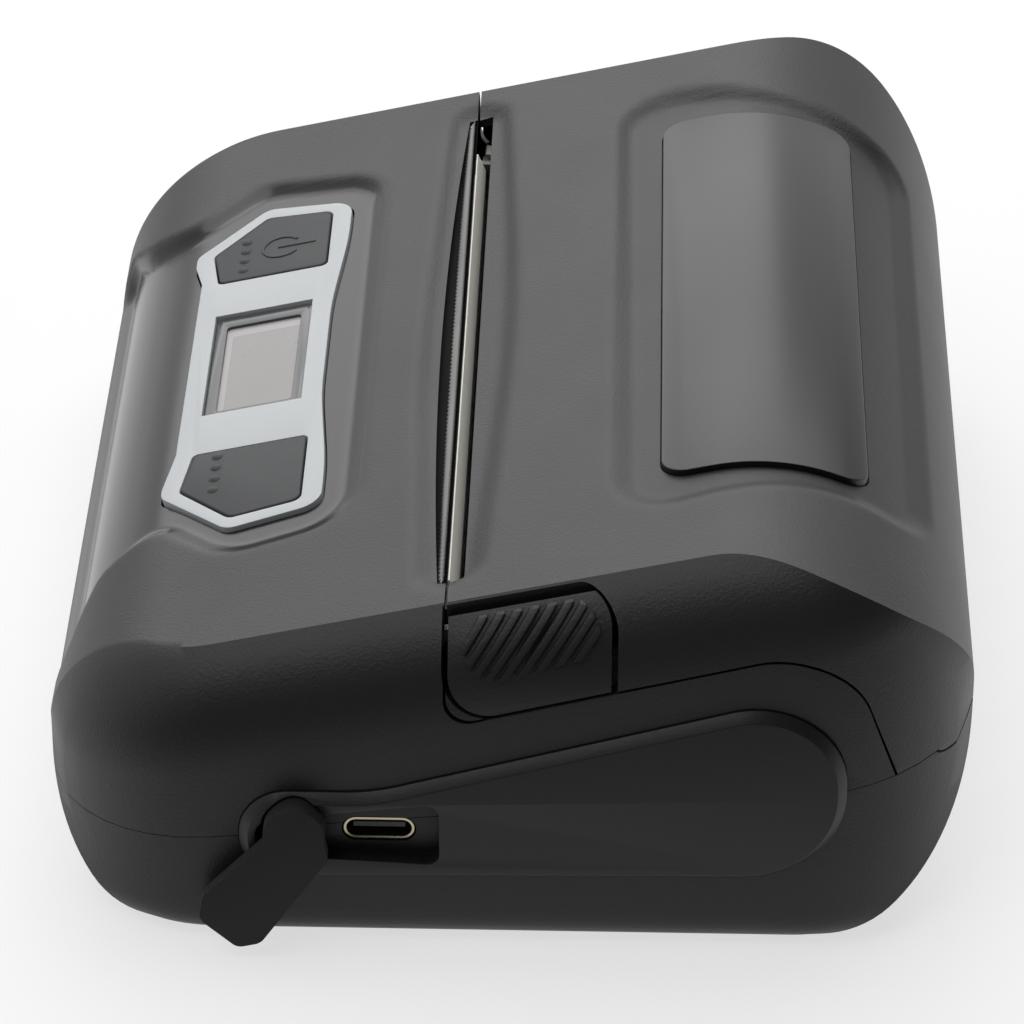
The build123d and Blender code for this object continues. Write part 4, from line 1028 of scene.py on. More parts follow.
@dataclass(frozen=True)
class PortPlace:
    """Pocket, port opening and flap root in the right wall, in millimetres.

    The opening has round ends with a short flat between their corners, end_flat at each.
    """

    port_y: float = -16.1
    port_z: float = 17.4
    width: float = 8.94
    height: float = 3.16
    gap: float = 0.25
    end_flat: float = 0.01
    pocket_rear_y: float = -8.4
    pocket_past_flap: float = 5.0
    pocket_bottom: float = 13.8
    pocket_front_rise: float = 1.2
    pocket_front_height: float = 6.4
    pocket_rear_height: float = 9.4
    pocket_radii: tuple[float, ...] = (2.5, 1.5, 1.8, 2.5)
    pocket_depth: float = 2.7
    flap_y: float = -26.6
    flap_z: float = 19.4
    root_radius: float = 3.9
    root_gap: float = 0.3
    stem_radius: float = 2.05

    def pocket(self) -> list[tuple[float, float]]:
        """Y and Z points of the pocket."""
        front, bottom = self.flap_y - self.pocket_past_flap, self.pocket_bottom
        points = [(front, bottom + self.pocket_front_rise), (self.pocket_rear_y, bottom),
                  (self.pocket_rear_y, bottom + self.pocket_rear_height),
                  (front, bottom + self.pocket_front_height)]
        return rounded_outline(points, list(self.pocket_radii))

    def cuts(self) -> list[bmesh.types.BMesh]:
        """Everything that the port takes out of the wall."""
        floor = BODY.length / 2 - self.pocket_depth
        through = BODY.half_width - BODY.wall - PAST
        half, high = self.width / 2 + self.gap, self.height / 2 + self.gap
        slot = [(self.port_y + a, self.port_z + b) for a, b in rectangle(-half, half, -high, high)]
        return [
            prism(self.pocket(), floor, BODY.length, ALONG_X),
            prism(circle(self.flap_y, self.flap_z, self.root_radius + self.root_gap), floor, BODY.length,
                  ALONG_X),
            prism(circle(self.flap_y, self.flap_z, self.stem_radius), through, BODY.length, ALONG_X),
            prism(rounded_outline(slot, [high - self.end_flat] * 4, step=0.3), through, BODY.length, ALONG_X),
        ]


@dataclass(frozen=True)
class SlotPlace:
    """Paper slot across the split: its front edge bows forward."""

    centre_x: float = 0.6
    half_length: float = 61.1
    front: float = 1.3
    rear: float = 2.1
    front_bow: float = 1.8
    reach_down: float = 6.0
    points: int = 24

    def cut(self) -> bmesh.types.BMesh:
        """Space of the slot through the skin."""
        shares = [2 * index / self.points - 1 for index in range(self.points + 1)]
        front = [(self.centre_x + s * self.half_length,
                  BODY.split_y - self.front - self.front_bow * (1 - s * s)) for s in shares]
        rear = [(self.centre_x + end * self.half_length, BODY.split_y + self.rear) for end in (1, -1)]
        return prism(front + rear, BODY.roof_z(BODY.split_y) - self.reach_down, BODY.tall, UPRIGHT)


@dataclass(frozen=True)
class PanelPlace:
    """Place of the control panel on the roof, in millimetres, seen from above.

    The keys lie key_cad_depth under the roof in the CAD and key_depth under it here.
    """

    x: float = -2.5
    y: float = -36.3
    half_length: float = 42.2
    near_waist: float = 21.5
    near_tip: float = 29.7
    far_waist: float = 23.8
    far_tip: float = 28.8
    front_y: float = -47.0
    rear_y: float = -25.3
    front_step: float = 1.2
    rear_step: float = 1.5
    rear_waist: float = 12.0
    rear_taper: float = 2.3
    diagonal: float = 10.5
    diagonal_fall: float = 0.9
    corner_radii: tuple[float, ...] = (2.0, 2.0, 2.5, 2.5, 3.5, 100.0, 100.0)
    gap: float = 0.25
    seat_reach: float = 6.0
    key_cad_depth: float = 0.25
    key_depth: float = 0.5
    lens_depth: float = 1.1

    def on_roof(self, x: float, y: float) -> tuple[float, float]:
        """Point on the roof plane for a place seen from above, from the panel's middle."""
        return (x - self.x, (y - self.y) / math.cos(math.radians(BODY.roof_slope)))

    def bezel(self, grow: float) -> list[tuple[float, float]]:
        """Outline of the bezel on the roof plane, grown by a gap."""
        half = self.half_length + grow
        front, rear = self.front_y - grow, self.rear_y + grow
        ends = []
        for side, waist, tip in ((1, self.near_waist, self.near_tip), (-1, self.far_waist, self.far_tip)):
            corners = [
                (waist, front + self.front_step), (tip, front), (half - self.diagonal, front),
                (half, front + self.diagonal_fall * self.diagonal), (half - self.rear_taper, rear),
                (self.near_tip, rear),
                (self.rear_waist, rear - self.rear_step),
            ]
            ends.append([self.on_roof(side * x + self.x, y) for x, y in corners])
        return rounded_outline(ends[0] + ends[1][::-1], [*self.corner_radii, *self.corner_radii[::-1]])

    def seat(self) -> bmesh.types.BMesh:
        """Opening for the bezel through the skin."""
        return prism(self.bezel(self.gap), -self.seat_reach, self.seat_reach, roof_frame(self.x, self.y))


@dataclass(frozen=True)
class WindowPlace:
    """Outline of the cover's window, in millimetres, seen from above."""

    left: float = 47.6
    right: float = 45.6
    front_y: float = 19.0
    rear_y: float = 45.5
    radius: float = 3.5
    gap: float = 0.15

    def opening(self) -> bmesh.types.BMesh:
        """Opening for the window through the skin."""
        gap = self.gap
        outline = rectangle(-self.left - gap, self.right + gap, self.front_y - gap, self.rear_y + gap)
        return prism(rounded_outline(outline, [self.radius + gap] * 4), BODY.hinge_z, BODY.tall, UPRIGHT)


@dataclass(frozen=True)
class HingePlace:
    """Hinge of the cover, in millimetres."""

    radius: float = 2.5
    group_x: float = 36.0
    knuckle: float = 9.0
    gap: float = 0.3
    sweep: float = 3.4
    lip: float = 3.1
    slot_front: float = 3.0

    def fixed_spans(self) -> list[tuple[float, float]]:
        """Spans along X of the lower shell's knuckles."""
        inner = self.knuckle / 2 + self.gap
        spans = []
        for centre in (-self.group_x, self.group_x):
            spans.append((centre - inner - self.knuckle, centre - inner))
            spans.append((centre + inner, centre + inner + self.knuckle))
        return spans


@dataclass(frozen=True)
class FloorPlace:
    """Battery bay, its door and the screw holes in the floor, in millimetres."""

    battery_y: float = -31.0
    battery_length: float = 104.0
    battery_depth: float = 19.4
    bay_gap: tuple[float, float] = (0.5, 0.3)
    bay_top: float = 5.0
    door_length: float = 120.0
    door_depth: float = 20.4
    door_thickness: float = 1.6
    door_gap: float = 0.2
    door_screw_inset: float = 3.5
    door_screw_hole: float = 1.2
    door_screw_top: float = 3.6
    screw_x: float = 66.9
    screw_front_y: float = -35.0
    screw_rear_y: float = 29.0
    screw_hole: float = 2.7
    screw_seat: float = 9.0

    def cuts(self) -> list[bmesh.types.BMesh]:
        """Everything that is cut into the floor from below."""
        bay_x, bay_y = self.battery_length / 2 + self.bay_gap[0], self.battery_depth / 2 + self.bay_gap[1]
        door_x, door_y = self.door_length / 2 + self.door_gap, self.door_depth / 2 + self.door_gap
        y = self.battery_y
        forms = [
            prism(rectangle(-bay_x, bay_x, y - bay_y, y + bay_y), -PAST, self.bay_top, UPRIGHT),
            prism(rectangle(-door_x, door_x, y - door_y, y + door_y), -PAST, self.door_thickness, UPRIGHT),
        ]
        for x in (-self.screw_x, self.screw_x):
            for screw_y in (self.screw_front_y, self.screw_rear_y):
                forms.append(prism(circle(x, screw_y, self.screw_hole), -PAST, self.screw_seat, UPRIGHT))
        door_screw_x = self.door_length / 2 - self.door_screw_inset
        for x in (-door_screw_x, door_screw_x):
            forms.append(prism(circle(x, y, self.door_screw_hole), -PAST, self.door_screw_top, UPRIGHT))
        return forms


# Shells


def boolean(form: bmesh.types.BMesh, tools: list[bmesh.types.BMesh], operation: str) -> bmesh.types.BMesh:
    """Cut a form with several tools at once, all in millimetres.

    Args:
        form: The form to cut; freed here.
        tools: The cutting forms; freed here.
        operation: DIFFERENCE or INTERSECT.

    Returns:
        The result.
    """
    helpers = bpy.data.collections.new("cutting")
    for index, tool in enumerate(tools):
        mesh = bpy.data.meshes.new(f"cutting_{index}")
        tool.to_mesh(mesh)
        tool.free()
        helpers.objects.link(bpy.data.objects.new(f"cutting_{index}", mesh))
    mesh = bpy.data.meshes.new("being_cut")
    form.to_mesh(mesh)
    form.free()
    target = bpy.data.objects.new("being_cut", mesh)
    bpy.context.scene.collection.objects.link(target)
    modifier = target.modifiers.new("cut", "BOOLEAN")
    modifier.operation = operation
    modifier.solver = "EXACT"
    modifier.operand_type = "COLLECTION"
    modifier.collection = helpers
    result = bmesh.new()
    result.from_object(target, bpy.context.evaluated_depsgraph_get())
    bpy.data.objects.remove(target)
    for helper in list(helpers.objects):
        bpy.data.objects.remove(helper)
    bpy.data.collections.remove(helpers)
    return result


class Shell(Enum):
    """The three shells of the casing, by CAD node."""

    TOP = "top_case"
    COVER = "paper_cover"
    BOTTOM = "bottom_case"


@dataclass
class ShellBuilder:
    """Builds the three shells: a smooth outer skin, with the CAD node's bosses and ribs inside."""

    skin: float = 2.27
    rib_inset: float = 2.25
    cover_end_y: float = 49.3
    cover_edge_radii: tuple[float, ...] = (0, 3.0, 12.0, 0, 0, 0, 0)
    fine_past_split: float = 4.0
    polish_border: float = 0.35

    def body(self, shell: Shell) -> bmesh.types.BMesh:
        """The whole body's form, fine where this shell needs it."""
        if shell is Shell.TOP:
            form = BodyMesh(hollows=(valley_hollow(), trough_hollow()),
                            keep_high_y=BODY.split_y + self.fine_past_split)
        elif shell is Shell.COVER:
            form = BodyMesh(hollows=(window_hollow(), trough_hollow()),
                            keep_low_y=BODY.split_y - self.fine_past_split)
        else:
            form = BodyMesh(step=1.2, line_step=4.5, outer_lines=7, keep_high_z=32.0)
        return form.build()

    def inner_body(self, inset: float) -> bmesh.types.BMesh:
        """The body drawn in, with larger faces."""
        return BodyMesh(inset=inset, step=2.0, line_step=18.0, outer_lines=6,
                        rings=(0.93, 0.84, 0.73, 0.6, 0.45, 0.25)).build()

    def below_parting(self, drop: float, lip_radius: float = 0.0) -> bmesh.types.BMesh:
        """Space under the seam between the shells, less a round lip about the hinge.

        Args:
            drop: How far the space stays under the seam.
            lip_radius: Radius of the lip that is left out, or 0.

        Returns:
            The space as a closed form.
        """
        deep = BODY.depth
        lip = [(y, z) for y, z in circle(BODY.hinge_y, BODY.hinge_z, lip_radius)
               if lip_radius and z < BODY.parting_z(y) - drop]
        outline = [(-deep, -deep), (deep, -deep), (deep, BODY.parting_z(deep) - drop),
                   *sorted(lip, reverse=True), (-deep, BODY.parting_z(-deep) - drop)]
        return prism(outline, -BODY.length, BODY.length, ALONG_X)

    def above_parting(self, drop: float) -> bmesh.types.BMesh:
        """Space over the seam between the shells."""
        deep = BODY.depth
        outline = [(-deep, BODY.parting_z(-deep) - drop), (deep, BODY.parting_z(deep) - drop),
                   (deep, BODY.tall), (-deep, BODY.tall)]
        return prism(outline, -BODY.length, BODY.length, ALONG_X)

    def cover_edge(self, grow: float) -> list[tuple[float, float]]:
        """Y and Z points of the cover's front and lower edge, from the top to the rear."""
        front = BODY.split_y + BODY.seam / 2 - grow
        shoulder_y, shoulder_z = BODY.cover_shoulder
        edge_z = BODY.cover_edge_z(front)
        end_y, end_z = self.cover_end_y - grow, BODY.parting_z(self.cover_end_y)
        return [(front, BODY.tall), (front, edge_z - grow), (shoulder_y, shoulder_z - grow), (end_y, end_z),
                (end_y, -BODY.depth)]

    def cover_side(self, grow: float) -> bmesh.types.BMesh:
        """Space that belongs to the cover, grown by a gap."""
        points = self.cover_edge(grow) + [(BODY.depth, -BODY.depth), (BODY.depth, BODY.tall)]
        return prism(rounded_outline(points, list(self.cover_edge_radii)), -BODY.length, BODY.length, ALONG_X)

    def case_side(self) -> bmesh.types.BMesh:
        """Space that belongs to the front upper shell and the lower shell."""
        points = self.cover_edge(0.0) + [(-BODY.depth, -BODY.depth), (-BODY.depth, BODY.tall)]
        return prism(rounded_outline(points, list(self.cover_edge_radii)), -BODY.length, BODY.length, ALONG_X)

    def cuts(self, shell: Shell) -> list[bmesh.types.BMesh]:
        """What is cut from the body to leave this shell's skin."""
        plates = [EndPlatePlace().recess(side) for side in (-1, 1)]
        gap = ButtonPlace().opening()
        hinge = HingePlace()
        half_gap = BODY.parting_gap / 2
        if shell is Shell.TOP:
            return [self.below_parting(-half_gap), self.cover_side(BODY.seam), PanelPlace().seat(),
                    SlotPlace().cut(), gap, *plates, *PortPlace().cuts()]
        if shell is Shell.COVER:
            forms = [self.below_parting(-half_gap - BODY.seam, hinge.lip), self.case_side(),
                     WindowPlace().opening(), SlotPlace().cut(), gap]
            for low, high in hinge.fixed_spans():
                slot = rectangle(BODY.hinge_y - hinge.slot_front, BODY.depth, 0,
                                 BODY.hinge_z + hinge.radius + hinge.gap)
                forms.append(prism(slot, low - hinge.gap, high + hinge.gap, ALONG_X))
            return forms
        sweep = circle(BODY.hinge_y, BODY.hinge_z, hinge.sweep)
        return [self.above_parting(half_gap), prism(sweep, -BODY.length, BODY.length, ALONG_X), *plates,
                *PortPlace().cuts(), *FloorPlace().cuts()]

    def ribs(self, shell: Shell) -> bmesh.types.BMesh:
        """What the CAD node has inside the skin: bosses, ribs, ledges and knuckles."""
        form = bmesh.new()
        form.from_mesh(frame["nodes"][shell.value].data)
        bmesh.ops.remove_doubles(form, verts=form.verts, dist=WELD * MM)
        bmesh.ops.scale(form, vec=(1 / MM,) * 3, verts=form.verts)
        bmesh.ops.recalc_face_normals(form, faces=form.faces)
        return boolean(form, [self.inner_body(self.rib_inset)], "INTERSECT")

    def build(self, shell: Shell) -> bpy.types.Object:
        """Build one shell.

        Args:
            shell: Which one.

        Returns:
            The new piece, in metres.
        """
        skin = boolean(self.body(shell), [self.inner_body(self.skin), *self.cuts(shell)], "DIFFERENCE")
        add_form(skin, self.ribs(shell))
        bmesh.ops.scale(skin, vec=(MM,) * 3, verts=skin.verts)
        piece = new_piece(f"{shell.value}_moulding", skin, smooth_angle=30.0)
        if shell is Shell.TOP:
            self.mark_polish(piece.data)
        return piece

    def mark_polish(self, mesh: bpy.types.Mesh) -> None:
        """Mark the vertices of the valley, where the mould is polished.

        Args:
            mesh: Mesh of the front upper shell, in metres.
        """
        places = np.empty(3 * len(mesh.vertices))
        mesh.vertices.foreach_get("co", places)
        places = places.reshape(-1, 3) / MM
        along = BODY.along_roof(places[:, 1], places[:, 2])
        share = valley_hollow().share(np.stack([places[:, 0], along], axis=1))
        polish = mesh.attributes.new("polish", "FLOAT", "POINT")
        polish.data.foreach_set("value", np.clip(share / self.polish_border, 0, 1))


# Sub-assemblies


@dataclass
class Casing:
    """The two shells, the cover and the end plates."""

    paint: Paintbox
    plate_rounding: float = 0.3

    def build(self) -> None:
        """Build the shells and the end plates, and dress the battery door."""
        for shell in Shell:
            body = "cover" if shell is Shell.COVER else "case"
            self.paint.dress_piece(ShellBuilder().build(shell), "shell", body, shell.value)
        self.paint.dress_node("battery_door", "shell")
        for side in ("right", "left"):
            node = f"{side}_side_plate"
            piece = rounded_copy(f"{side}_end_plate", node, self.plate_rounding)
            self.paint.dress_piece(piece, "plate", "case", node)


@dataclass
class CoverLens:
    """Smoked window in the cover, with softened edges."""

    paint: Paintbox
    rounding: float = 0.35

    def build(self) -> None:
        """Build and dress the window."""
        piece = rounded_copy("smoked_window", "cover_window", self.rounding)
        self.paint.dress_piece(piece, "window", "cover", "cover_window")


@dataclass
class Release:
    """Ribbed latch button on the right shoulder."""

    paint: Paintbox
    rounding: float = 0.2

    def build(self) -> None:
        """Build and dress the button."""
        piece = rounded_copy("ribbed_release", "latch_button", self.rounding)
        self.paint.dress_piece(piece, "shell", "release", "latch_button")


@dataclass
class TearBlade:
    """Dark steel strip under the slot's front edge, coloured dead black as painted shade of the slot, with a
    row of bright ground saw teeth.
    """

    paint: Paintbox
    start_x: float = -59.5
    end_x: float = 61.5
    root: tuple[float, float] = (-8.95, 45.0)
    tip: tuple[float, float] = (-8.2, 46.85)
    pitch: float = 1.0
    tooth_thickness: float = 0.3
    ridge: float = 0.5

    def build(self) -> None:
        """Build and dress the strip and its teeth."""
        strip = cad_form("tear_blade")
        add_form(strip, self.teeth())
        piece = new_piece("saw_tooth_blade", strip)
        # The strip's dead-black finish is painted shade of the slot over the steel's own dark tone; the teeth
        # stay bright.
        self.paint.dress_piece(piece, "black_sheet", "case", "tear_blade",
                               finishes=("black_sheet", "teeth"))

    def teeth(self) -> bmesh.types.BMesh:
        """Row of teeth on the strip's sloping front; each is a wedge with a ridge, and has face number 1."""
        form = bmesh.new()
        root, tip = Vector((0.0, *self.root)), Vector((0.0, *self.tip))
        out = Vector((0.0, root.z - tip.z, tip.y - root.y)).normalized()
        count = int((self.end_x - self.start_x) / self.pitch)
        for index in range(count):
            left = Vector((self.start_x + index * self.pitch, 0.0, 0.0))
            middle, right = left + Vector((self.pitch / 2, 0.0, 0.0)), left + Vector((self.pitch, 0.0, 0.0))
            back = -out * self.tooth_thickness
            places = [left + root, right + root, middle + tip, middle + root + out * self.ridge,
                      left + root + back, right + root + back, middle + tip + back]
            verts = [form.verts.new(place * MM) for place in places]
            for face in ((0, 3, 2), (3, 1, 2), (0, 4, 5, 1, 3), (1, 5, 6, 2), (4, 0, 2, 6), (5, 4, 6)):
                form.faces.new([verts[corner] for corner in face]).material_index = 1
        bmesh.ops.recalc_face_normals(form, faces=form.faces)
        return form


@dataclass
class ControlPanel:
    """Light bezel with two dotted keys and a small display.

    Places are millimetres: along X and Y seen from above, or from the display's middle on the roof.
    """

    paint: Paintbox
    place: PanelPlace = PanelPlace()
    bezel_rounding: float = 0.5
    key_rounding: float = 0.35
    key_top_band: float = 0.625
    dot_radius: float = 0.8
    dot_height: float = 0.32
    dot_y: float = -40.0
    power_dots: tuple[float, ...] = (-35.8, -33.2, -30.6, -28.0)
    feed_dots: tuple[float, ...] = (21.4, 24.1, 26.9, 29.6)
    symbol_x: float = -32.8
    symbol_y: float = -34.9
    symbol_radius: float = 2.7
    symbol_line: float = 0.45
    symbol_gap: float = 35.0
    symbol_bar: tuple[float, float] = (-0.5, 5.0)
    symbol_stand: float = 0.14
    symbol_root: float = 0.1
    symbol_rounding: float = 0.07
    symbol_chords: int = 36
    display_x: float = -3.3
    lens_half: tuple[float, float] = (13.0, 6.8)
    lens_thickness: float = 1.2
    cell: tuple[float, float, float, float] = (-10.4, 11.8, -5.2, 5.35)
    cell_depth: float = 1.5
    cell_sunk: float = 0.2
    active: tuple[float, float, float, float] = (-8.2, 11.7, -4.3, 5.25)
    active_stand: float = 0.03
    lens_corner: float = 0.9
    cell_corner: float = 0.5
    active_corner: float = 0.1
    lens_rounding: float = 0.12

    def build(self) -> None:
        """Build and dress the bezel, the keys and the display."""
        bezel = rounded_copy("bezel_frame", "panel_bezel", self.bezel_rounding, 4)
        self.paint.dress_piece(bezel, "bezel", "case", "panel_bezel")
        power = self.key("power_key_cap", "power_button", self.power_dots, self.power_symbol())
        self.paint.dress_piece(power, "key", "power_key", "power_button")
        feed = self.key("feed_key_cap", "feed_button", self.feed_dots, [])
        self.paint.dress_piece(feed, "key", "feed_key", "feed_button")
        self.build_display()

    def key(self, name: str, node: str, dots: tuple[float, ...], raised: list[bmesh.types.BMesh]
            ) -> bpy.types.Object:
        """Key with soft edges, a row of raised dots and raised marks, nearly flush with the bezel.

        Args:
            name: Name of the piece.
            node: CAD node that it copies.
            dots: Places of the dots along X.
            raised: Other marks that stand on the key, in metres; freed here.

        Returns:
            The new object.
        """
        form = cad_form(node)
        origin, up = Vector((0.0, 0.0, BODY.roof_z(0.0) * MM)), roof_frame(0.0, 0.0).col[2].xyz
        for vert in form.verts:
            if (origin - vert.co).dot(up) < self.key_top_band * MM:
                vert.co -= up * (self.place.key_depth - self.place.key_cad_depth) * MM
        round_edges(form, self.key_rounding)
        for mark in [self.dot(x) for x in dots] + raised:
            add_form(form, mark)
        return new_piece(name, form)

    def dot(self, x: float) -> bmesh.types.BMesh:
        """Ball that stands out of a key as one low round dot."""
        radius = (self.dot_radius ** 2 + self.dot_height ** 2) / (2 * self.dot_height)
        sunk = self.place.key_depth + radius - self.dot_height
        form = bmesh.new()
        bmesh.ops.create_uvsphere(form, u_segments=32, v_segments=24, radius=radius,
                                  matrix=roof_frame(x, self.dot_y) @ Matrix.Translation((0, 0, -sunk)))
        bmesh.ops.scale(form, vec=(MM,) * 3, verts=form.verts)
        return form

    def power_symbol(self) -> list[bmesh.types.BMesh]:
        """Raised ring, open to the rear, with a bar in the opening."""
        half_line = self.symbol_line / 2
        open_half = math.radians(self.symbol_gap)
        turns = [math.pi / 2 + open_half + (2 * math.pi - 2 * open_half) * index / self.symbol_chords
                 for index in range(self.symbol_chords + 1)]
        ring = []
        for radius, order in ((self.symbol_radius + half_line, 1), (self.symbol_radius - half_line, -1)):
            ring += [(radius * math.cos(turn), radius * math.sin(turn)) for turn in turns[::order]]
        bar = rectangle(-half_line, half_line, *self.symbol_bar)
        low, high = -self.place.key_depth - self.symbol_root, self.symbol_stand - self.place.key_depth
        marks = []
        for outline in (ring, bar):
            mark = prism(outline, low, high, roof_frame(self.symbol_x, self.symbol_y))
            bmesh.ops.scale(mark, vec=(MM,) * 3, verts=mark.verts)
            round_edges(mark, self.symbol_rounding, 2)
            marks.append(mark)
        return marks

    def plate(self, spans: tuple[float, float, float, float], top: float, bottom: float, corner: float
              ) -> bmesh.types.BMesh:
        """Flat plate of the display between two depths under the roof, in millimetres."""
        outline = rounded_outline(rectangle(*spans), [corner] * 4, step=0.2)
        return prism(outline, -bottom, -top, roof_frame(self.display_x, self.place.y))

    def build_display(self) -> None:
        """Build the lens with its printed border, the cell and its active part."""
        half_x, half_y = self.lens_half
        top, under = self.place.lens_depth, self.place.lens_depth + self.lens_thickness
        lens = self.plate((-half_x, half_x, -half_y, half_y), top, under, self.lens_corner)
        opening = self.plate(self.cell, top - PAST, under + PAST, self.cell_corner)
        lens = boolean(lens, [opening], "DIFFERENCE")
        cell = self.plate(self.cell, self.cell_depth, under + self.cell_sunk, self.cell_corner)
        active = self.plate(self.active, self.cell_depth - self.active_stand, under, self.active_corner)
        for form in (lens, cell, active):
            bmesh.ops.scale(form, vec=(MM,) * 3, verts=form.verts)
        round_edges(lens, self.lens_rounding, 2)
        add_form(cell, cad_form("display_module"))
        self.paint.dress_piece(new_piece("display_border", lens), "window", "case", "display_lens",
                               finishes=("printed_border",))
        self.paint.dress_piece(new_piece("display_cell", cell), "screen", "case", "display_module",
                               finishes=("cell_rim",))
        self.paint.dress_piece(new_piece("display_screen", active), "screen", "case")


@dataclass
class ChargingPort:
    """Port in the right wall and the rubber flap that covers it."""

    paint: Paintbox
    place: PortPlace = PortPlace()
    flap_rounding: float = 0.5
    shell_thickness: float = 0.25
    tongue_half: tuple[float, float] = (3.35, 0.4)

    def build(self) -> None:
        """Build and dress the flap and the port."""
        flap = rounded_copy("rubber_flap", "port_flap", self.flap_rounding, 4)
        self.paint.dress_piece(flap, "rubber", "flap", "port_flap")
        socket = new_piece("charging_socket", cad_form("usb_socket"))
        self.number_faces(socket.data)
        self.paint.dress_piece(socket, "port", "case", "usb_socket", finishes=("port", "inner", "tongue"))

    def number_faces(self, mesh: bpy.types.Mesh) -> None:
        """Number the socket's faces: 0 its metal shell, 1 the dark inside, 2 the tongue."""
        inner_y = self.place.width / 2 - self.shell_thickness
        inner_z = self.place.height / 2 - self.shell_thickness
        for face in mesh.polygons:
            corners = [mesh.vertices[index].co / MM for index in face.vertices]
            across = max(abs(corner.y - self.place.port_y) for corner in corners)
            high = max(abs(corner.z - self.place.port_z) for corner in corners)
            if across < self.tongue_half[0] and high < self.tongue_half[1]:
                face.material_index = 2
            elif across < inner_y and high < inner_z:
                face.material_index = 1


INNER_NODES = {
    "hinge_pins": "steel", "paper_web": "paper", "paper_roll": "paper",
    "paper_core": "card", "roll_cradle": "inner", "platen_roller": "roller", "platen_shaft": "steel",
    "platen_bushes": "bush", "platen_bracket": "inner", "platen_gear": "gear", "idler_gear": "gear",
    "idler_stud": "steel", "drive_motor": "motor", "motor_pinion": "brass", "mechanism_frame": "sheet",
    "head_heat_sink": "heat_sink", "print_head": "ceramic", "head_pivot_pin": "steel",
    "head_springs": "spring", "head_cable": "cable", "latch_rod": "steel", "latch_hooks": "black_sheet",
    "latch_spring": "spring", "button_spring": "spring", "main_board": "circuit", "board_parts": "inner",
    "battery_pack": "battery", "battery_contacts": "brass", "door_screws": "steel", "case_screws": "steel",
    "board_screws": "steel", "paper_sensor": "inner", "panel_board": "circuit", "panel_switches": "inner",
}


@dataclass
class Works:
    """Everything inside: paper, drive, head, latch, boards, battery and screws."""

    paint: Paintbox
    slots: dict[str, str] = field(default_factory=lambda: dict(INNER_NODES))

    def build(self) -> None:
        """Dress each inner node."""
        for node, slot in self.slots.items():
            self.paint.dress_node(node, slot)


# Studio


@dataclass
class Viewpoint:
    """Camera of the photograph, from the vanishing point of the printer's length.

    Pixel values belong to a frame of 1024 by 1024.
    """

    frame_px: float = 1024.0
    focal_px: float = 5200.0
    vanishing_px: tuple[float, float] = (679.4, -2832.0)
    roll: float = 0.0145
    place: tuple[float, float, float] = (0.6057, 0.0152, 0.4072)
    sensor: float = 36.0

    def axes(self) -> np.ndarray:
        """Directions of the printer's X, Y and Z in the camera's right, down and forward axes."""
        middle = self.frame_px / 2
        away = np.array([self.vanishing_px[0] - middle, self.vanishing_px[1] - middle, self.focal_px])
        away /= np.linalg.norm(away)
        forward = -(away[0] + away[1] * self.roll) / away[2]
        rear = np.array([1.0, self.roll, forward])
        rear /= np.linalg.norm(rear)
        length = -away
        return np.stack([length, rear, np.cross(length, rear)], axis=1)

    def build(self) -> None:
        """Make the camera and set it as the scene's."""
        data = bpy.data.cameras.new("photo_camera")
        data.sensor_width = self.sensor
        data.lens = self.focal_px / self.frame_px * self.sensor
        data.clip_start = 0.01
        camera = bpy.data.objects.new("photo_camera", data)
        bpy.context.scene.collection.objects.link(camera)
        turn = self.axes()
        matrix = Matrix.Identity(4)
        for row in range(3):
            matrix[row][0] = turn[0][row]
            matrix[row][1] = -turn[1][row]
            matrix[row][2] = -turn[2][row]
            matrix[row][3] = self.place[row]
        camera.matrix_world = matrix
        bpy.context.scene.camera = camera
        LOG.info("camera at %s", self.place)


@dataclass
class Softbox:
    """One area lamp that looks at the printer."""

    name: str
    place: tuple[float, float, float]
    size: tuple[float, float]
    power: float
    target: tuple[float, float, float] = (0.0, 0.0, 0.03)

    def build(self) -> None:
        """Make the lamp."""
        data = bpy.data.lights.new(self.name, "AREA")
        data.shape = "RECTANGLE"
        data.size, data.size_y = self.size
        data.energy = self.power
        lamp = bpy.data.objects.new(self.name, data)
        bpy.context.scene.collection.objects.link(lamp)
        lamp.location = self.place
        aim = Vector(self.target) - Vector(self.place)
        lamp.rotation_euler = aim.to_track_quat("-Z", "Y").to_euler()


